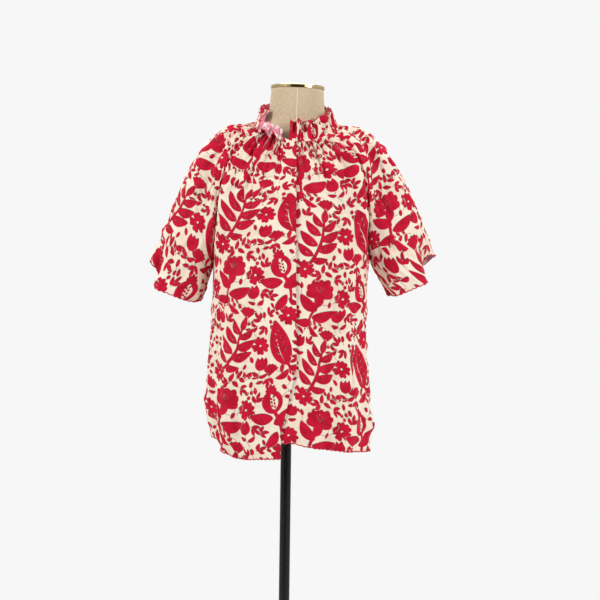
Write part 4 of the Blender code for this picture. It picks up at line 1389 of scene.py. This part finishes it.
def ruffle_points():
    """Points of the ruffle from its free edge down into the casing, and the height of each row."""
    shares = np.linspace(0, 1, RUFFLE_COLUMNS + 1)
    heights = np.linspace(RUFFLE_HEIGHT, -RUFFLE_TUCK, RUFFLE_STEPS + 1)
    angle = RUFFLE_START + (RUFFLE_END - RUFFLE_START) * shares
    foot = neck_point(angle)
    radial = stacked(np.sin(np.radians(angle)), -np.cos(np.radians(angle)), 0.0)
    size = curve_at(RUFFLE_LEAN, "angle", "wave", np.abs(signed(angle)))
    size = size * (1 + 0.18 * np.sin(np.radians(3 * angle + 40)))
    count = RUFFLE_WAVES * shares
    casing = np.radians(curve_at(RUFFLE_LEAN, "angle", "casing", np.abs(signed(angle))))
    rows = []
    for height in heights:
        short = RUFFLE_UNEVEN * (0.5 + 0.5 * ripple(count * 1.1, 94)) * max(height, 0.0) / RUFFLE_HEIGHT
        out, up, slope = ruffle_profile(angle, max(height, 0.0) * (1 - short))
        if height < 0:
            out, up = out + np.cos(casing) * height, up + np.sin(casing) * height
        grow = ease((height - CASING_HEIGHT * 0.5) / (RUFFLE_HEIGHT * 0.8))
        wander = 0.10 * ripple(count * 0.31, 90) * ease(height / RUFFLE_HEIGHT * 1.5)
        wave = RUFFLE_DEPTH * grow * size * np.cos(2 * np.pi * (count + wander))
        wave = wave + 0.0020 * grow * ripple(count * 1.9, 91)
        wave = wave + RUFFLE_CRUSH * grow * np.abs(ripple(count * 1.5, 93))
        pleats = 2.6 * count + 0.4 * ripple(count * 0.6, 92)
        pleat = RUFFLE_PLEAT * (0.5 + 0.5 * np.sin(2 * np.pi * pleats))
        wave = wave - pleat * ease(height / 0.004) * (0.25 + 0.75 * np.exp(-(height / 0.022) ** 2))
        out = out + wave * np.sin(slope)
        up = up - wave * np.cos(slope)
        rows.append(foot + radial * out[:, None] + stacked(0.0, 0.0, up + CASING_LIFT))
    return np.array(rows), heights


def make_ruffle(fabric):
    points, heights = ruffle_points()
    across = np.broadcast_to(running(points, 1)[RUFFLE_STEPS // 4], points.shape[:2])
    up = np.broadcast_to(heights[:, None], points.shape[:2])
    shown, rolled = cloth_piece("neck_ruffle", points, across, up, 1, points[0], fabric)


def make_form(linen, seam_thread_and_highlight):
    """Smooth torso with its neck, lofted through its sections."""
    top, bottom = FORM_SECTIONS[0].height, FORM_SECTIONS[-1].height
    steps = round((top - bottom) / FORM_STEP)
    heights = np.linspace(top - FORM_TOP_BEVEL, bottom, steps + 1)
    angles = np.linspace(0, FULL_TURN, FORM_COLUMNS, endpoint=False)
    angle, height = np.meshgrid(angles, heights)
    points = section_ring(FORM_SECTIONS, angle, height, FORM_ROUNDNESS)
    narrower = 1 - FORM_TOP_BEVEL / FORM_TOP_RADIUS
    rim = points[:1] * np.array([narrower, narrower, 1])
    rim[..., 2] = top
    mesh = lofted("form", np.concatenate([rim, points]))
    mesh.set_sharp_from_angle(angle=math.radians(60))
    placed("form", mesh, [linen], "form_cover", "dress_form")
    # Thin thread along the front seam. Its pale colour is partly the thread's own and partly a painted
    # highlight along the raised seam.
    seam_heights = np.linspace(top - 0.002, FORM_SEAM_END, FORM_SEAM_POINTS)
    chain = section_ring(FORM_SECTIONS, np.zeros(FORM_SEAM_POINTS), seam_heights, FORM_ROUNDNESS)
    placed("form_seam", tube_mesh("form_seam", chain, FORM_SEAM_RADIUS), [seam_thread_and_highlight], "form_cover")


# Materials
def new_material(name):
    material = bpy.data.materials.new(name)
    material.use_nodes = True
    tree = material.node_tree
    tree.nodes.clear()
    output = tree.nodes.new("ShaderNodeOutputMaterial")
    shader = tree.nodes.new("ShaderNodeBsdfPrincipled")
    tree.links.new(shader.outputs[0], output.inputs[0])
    return material, tree, shader


def set_inputs(tree, made, inputs):
    """Links sockets to a node's inputs, and sets its plain values."""
    for key, value in inputs.items():
        if isinstance(value, bpy.types.NodeSocket):
            tree.links.new(value, made.inputs[key])
        else:
            made.inputs[key].default_value = value


def node(tree, kind, inputs=None, **settings):
    made = tree.nodes.new(kind)
    for name, value in settings.items():
        setattr(made, name, value)
    set_inputs(tree, made, inputs or {})
    return made


def math_node(tree, operation, *values):
    return node(tree, "ShaderNodeMath", dict(enumerate(values)), operation=operation).outputs[0]


def product(tree, first, second):
    return math_node(tree, "MULTIPLY", first, second)


def between(tree, value, low, high, out_low=0.0, out_high=1.0):
    """Smooth step of a value between two limits."""
    made = node(tree, "ShaderNodeMapRange",
                {0: value, 1: low, 2: high, 3: out_low, 4: out_high}, interpolation_type="SMOOTHSTEP")
    return made.outputs[0]


def mixed(tree, share, first, second):
    """Colour between two colours."""
    first, second = ((*colour, 1) if isinstance(colour, tuple) else colour for colour in (first, second))
    return node(tree, "ShaderNodeMix", {0: share, 6: first, 7: second}, data_type="RGBA").outputs[2]


def scaled(tree, vector, scale):
    """Coordinates stretched along each axis."""
    return node(tree, "ShaderNodeVectorMath", {0: vector, 1: scale}, operation="MULTIPLY").outputs[0]


def attribute(tree, name):
    return node(tree, "ShaderNodeAttribute", attribute_name=name).outputs["Fac"]


def noise(tree, vector, scale, detail=2.0):
    return node(tree, "ShaderNodeTexNoise", {"Vector": vector, "Scale": scale, "Detail": detail}).outputs[0]


Ink = namedtuple("Ink", "ground ground_tint red red_deep outline stem")
RIGHT_SIDE = Ink((0.895, 0.785, 0.660), (0.880, 0.715, 0.590), (0.615, 0.006, 0.040), (0.500, 0.004, 0.028),
                 (0.220, 0.010, 0.020), (0.085, 0.020, 0.024))
WRONG_SIDE = Ink((0.86, 0.74, 0.70), (0.84, 0.64, 0.64), (0.78, 0.30, 0.39), (0.71, 0.24, 0.33),
                 (0.66, 0.26, 0.32), (0.60, 0.45, 0.45))
THREADS_PER_METRE = 1900.0
INK_SPREAD = 0.45
CLOTH_SPECULAR = 0.12
LINEN_DARK = (0.495, 0.380, 0.245)
LINEN_PALE = (0.64, 0.520, 0.365)


def weave_height(tree, uv):
    """Plain weave: threads over and under each other in both directions."""
    parts = node(tree, "ShaderNodeSeparateXYZ", {0: scaled(tree, uv, (THREADS_PER_METRE,) * 3)})
    warp = math_node(tree, "SINE", product(tree, parts.outputs[0], math.pi))
    weft = math_node(tree, "SINE", product(tree, parts.outputs[1], math.pi))
    return product(tree, warp, weft)


def printed_cotton(name, ink, roughness, sheen):
    material, tree, shader = new_material(name)
    uv = node(tree, "ShaderNodeUVMap", uv_map="cloth").outputs[0]
    edge = attribute(tree, "ink")
    stem, stem_side = attribute(tree, "stem"), attribute(tree, "stem_side")
    rough_edge = math_node(tree, "MULTIPLY_ADD", noise(tree, uv, 700.0), 0.9, -0.45)
    edge = math_node(tree, "ADD", edge, rough_edge)
    edge = math_node(tree, "SUBTRACT", edge, INK_SPREAD)
    inside = between(tree, edge, 0.28, -0.28)
    patches = noise(tree, uv, 16.0, 3.0)
    ground = mixed(tree, between(tree, patches, 0.38, 0.64), ink.ground, ink.ground_tint)
    red = mixed(tree, between(tree, noise(tree, uv, 38.0, 3.0), 0.38, 0.66), ink.red, ink.red_deep)
    hatch = node(tree, "ShaderNodeTexWave",
                 {"Vector": uv, "Scale": 76.0, "Distortion": 9.0, "Detail": 2.0, "Detail Scale": 0.35},
                 bands_direction="DIAGONAL")
    lines = product(tree, between(tree, hatch.outputs["Fac"], 0.84, 0.97),
                      between(tree, edge, -2.4, -3.6))
    red = mixed(tree, product(tree, lines, 0.55), red, ink.outline)
    rim = product(tree, between(tree, edge, -0.95, -0.30), 0.75)
    red = mixed(tree, rim, red, ink.outline)
    colour = mixed(tree, inside, ground, red)
    shadow = product(tree, between(tree, edge, -1.25, -0.75), between(tree, edge, 0.62, 0.20))
    shadow = product(tree, shadow, between(tree, attribute(tree, "edge_side"), 0.15, 0.70))
    colour = mixed(tree, product(tree, shadow, 0.80), colour, ink.stem)
    on_stem = math_node(tree, "MULTIPLY",
                        between(tree, math_node(tree, "ABSOLUTE", stem_side), 0.62, 0.30),
                        between(tree, stem, 2.3, 1.7))
    on_stem = product(tree, on_stem, 0.9)
    colour = mixed(tree, product(tree, on_stem, math_node(tree, "SUBTRACT", 1.0, inside)),
                   colour, ink.stem)
    slubs = noise(tree, scaled(tree, uv, (900.0, 60.0, 1.0)), 1.0)
    height = math_node(tree, "ADD", weave_height(tree, uv), product(tree, slubs, 1.4))
    crinkle = noise(tree, uv, 110.0, 4.0)
    bump = node(tree, "ShaderNodeBump", {"Strength": 0.35, "Distance": 0.00012, "Height": height})
    soft = node(tree, "ShaderNodeBump", {"Strength": 0.5, "Distance": 0.0016, "Height": crinkle,
                                         "Normal": bump.outputs[0]})
    set_inputs(tree, shader, {
        "Base Color": colour,
        "Roughness": roughness,
        "Sheen Weight": sheen,
        "Sheen Roughness": 0.5,
        "Specular IOR Level": CLOTH_SPECULAR,
        "Normal": soft.outputs[0],
    })
    return material


def plain_material(name, colour, roughness, metallic=0.0, grain=0.0, grain_scale=400.0, spread=0.08,
                   specular=0.5):
    """Material with a slightly uneven colour and a fine grain."""
    material, tree, shader = new_material(name)
    place = node(tree, "ShaderNodeTexCoord").outputs["Object"]
    tone = noise(tree, place, 34.0, 3.0)
    darker = tuple(c * (1 - spread) for c in colour)
    set_inputs(tree, shader, {
        "Base Color": mixed(tree, between(tree, tone, 0.35, 0.65), colour, darker),
        "Roughness": roughness,
        "Metallic": metallic,
        "Specular IOR Level": specular,
    })
    if grain:
        bump = node(tree, "ShaderNodeBump", {"Strength": 0.4, "Distance": grain,
                                             "Height": noise(tree, place, grain_scale, 3.0)})
        tree.links.new(bump.outputs[0], shader.inputs["Normal"])
    return material


def linen_material():
    """Coarse linen of the form's cover."""
    material, tree, shader = new_material("linen")
    place = node(tree, "ShaderNodeTexCoord").outputs["Object"]
    weft, warp = (noise(tree, scaled(tree, place, scale), 0.5)
                  for scale in ((240.0, 240.0, 2600.0), (2600.0, 2600.0, 240.0)))
    weave = math_node(tree, "ADD", weft, warp)
    colour = mixed(tree, between(tree, weave, 0.75, 1.25), LINEN_DARK, LINEN_PALE)
    bump = node(tree, "ShaderNodeBump", {"Strength": 0.5, "Distance": 0.0003, "Height": weave})
    set_inputs(tree, shader, {"Base Color": colour, "Roughness": 0.88, "Normal": bump.outputs[0]})
    return material


# Stage, lights and camera
FLOOR_RADIUS = 1.45
FLOOR_CORNERS = 96
BACKGROUND = 0.930
AMBIENT = 0.66
DARK_SIDE = 0.06


def make_stage():
    """Round pale floor under the stand."""
    turns = np.linspace(0, 2 * np.pi, FLOOR_CORNERS, endpoint=False)
    rim = [(FLOOR_RADIUS * math.cos(t), FLOOR_RADIUS * math.sin(t), 0.0) for t in turns]
    mesh = bpy.data.meshes.new("floor")
    mesh.from_pydata(rim, [], [list(range(FLOOR_CORNERS))])
    floor = bpy.data.objects.new("floor", mesh)
    floor.location = (0, 0, -0.0005)
    bpy.context.scene.collection.objects.link(floor)
    material, tree, shader = new_material("floor")
    set_inputs(tree, shader, {"Base Color": (0.86, 0.86, 0.855, 1), "Roughness": 0.9})
    mesh.materials.append(material)


def make_world():
    """Pale surroundings, dimmer behind the camera, which sees an even background."""
    world = bpy.data.worlds.new("studio")
    bpy.context.scene.world = world
    world.use_nodes = True
    tree = world.node_tree
    tree.nodes.clear()
    output = tree.nodes.new("ShaderNodeOutputWorld")
    seen = node(tree, "ShaderNodeBackground", {"Color": (BACKGROUND, BACKGROUND, BACKGROUND, 1)})
    toward = node(tree, "ShaderNodeSeparateXYZ", {0: node(tree, "ShaderNodeTexCoord").outputs["Generated"]})
    behind_camera = between(tree, toward.outputs[1], -0.72, -0.93)
    strength = between(tree, behind_camera, 0.0, 1.0, AMBIENT, AMBIENT * DARK_SIDE)
    light = node(tree, "ShaderNodeBackground", {"Color": (1.0, 0.99, 0.975, 1), "Strength": strength})
    path = tree.nodes.new("ShaderNodeLightPath")
    mix = node(tree, "ShaderNodeMixShader",
               {0: path.outputs["Is Camera Ray"], 1: light.outputs[0], 2: seen.outputs[0]})
    tree.links.new(mix.outputs[0], output.inputs[0])


def soft_light(name, location, target, size, power, colour=(1, 1, 1)):
    data = bpy.data.lights.new(name, "AREA")
    data.shape = "RECTANGLE"
    data.size, data.size_y = size
    data.energy = power
    data.color = colour
    light = bpy.data.objects.new(name, data)
    light.location = location
    toward = Vector(target) - Vector(location)
    light.rotation_euler = toward.to_track_quat("-Z", "Y").to_euler()
    bpy.context.scene.collection.objects.link(light)


def make_lights():
    soft_light("key", (-2.4, -1.6, 2.6), (0, 0, 1.1), (0.8, 0.8), 55, (1.0, 0.98, 0.95))
    soft_light("fill", (2.4, -2.0, 2.1), (0, 0, 1.1), (1.2, 1.2), 53, (1.0, 0.985, 0.97))
    soft_light("top", (0.1, 0.7, 3.0), (0, 0, 1.2), (1.8, 1.2), 24)


def make_camera():
    data = bpy.data.cameras.new("camera")
    data.sensor_width = 36.0
    data.lens = CAMERA_LENS
    camera = bpy.data.objects.new("camera", data)
    camera.location = (CAMERA_X, CAMERA_Y, CAMERA_Z)
    turn = Matrix.Rotation(math.radians(90 + CAMERA_PITCH), 3, "X")
    camera.rotation_euler = (turn @ Matrix.Rotation(math.radians(CAMERA_ROLL), 3, "Z")).to_euler()
    bpy.context.scene.collection.objects.link(camera)
    bpy.context.scene.camera = camera


def dress_stand(frame):
    """Finishes of the solids that stay as they are."""
    brass = plain_material("polished_brass", (0.66, 0.50, 0.25), 0.14, metallic=1.0, grain=0.00004)
    black = plain_material("black_enamel", (0.006, 0.0055, 0.005), 0.36, grain=0.00006, specular=0.28)
    for name, material in (("neck_cap", brass), ("pole", black), ("stand_base", black)):
        frame["nodes"][name].material_slots[0].material = material


def main():
    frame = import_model()
    bpy.context.scene.view_settings.view_transform = "Standard"
    make_camera()
    make_stage()
    make_world()
    make_lights()
    cotton = printed_cotton("printed_cotton", RIGHT_SIDE, 0.82, 0.04)
    wrong_side = printed_cotton("cotton_wrong_side", WRONG_SIDE, 0.88, 0.04)
    thread = plain_material("overlock_thread", (0.60, 0.012, 0.045), 0.6, grain=0.0002, grain_scale=2600.0,
                            spread=0.3)
    repeat = printed_repeat()
    # The seam thread's pale colour is partly its own and partly a painted highlight on the raised seam.
    make_form(linen_material(), plain_material("seam_thread_and_painted_highlight", (0.86, 0.77, 0.62), 0.8))
    fabric = Fabric(repeat, cotton, wrong_side, thread)
    make_blouse(fabric)
    make_ruffle(fabric)
    dress_stand(frame)
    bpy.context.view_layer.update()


main()
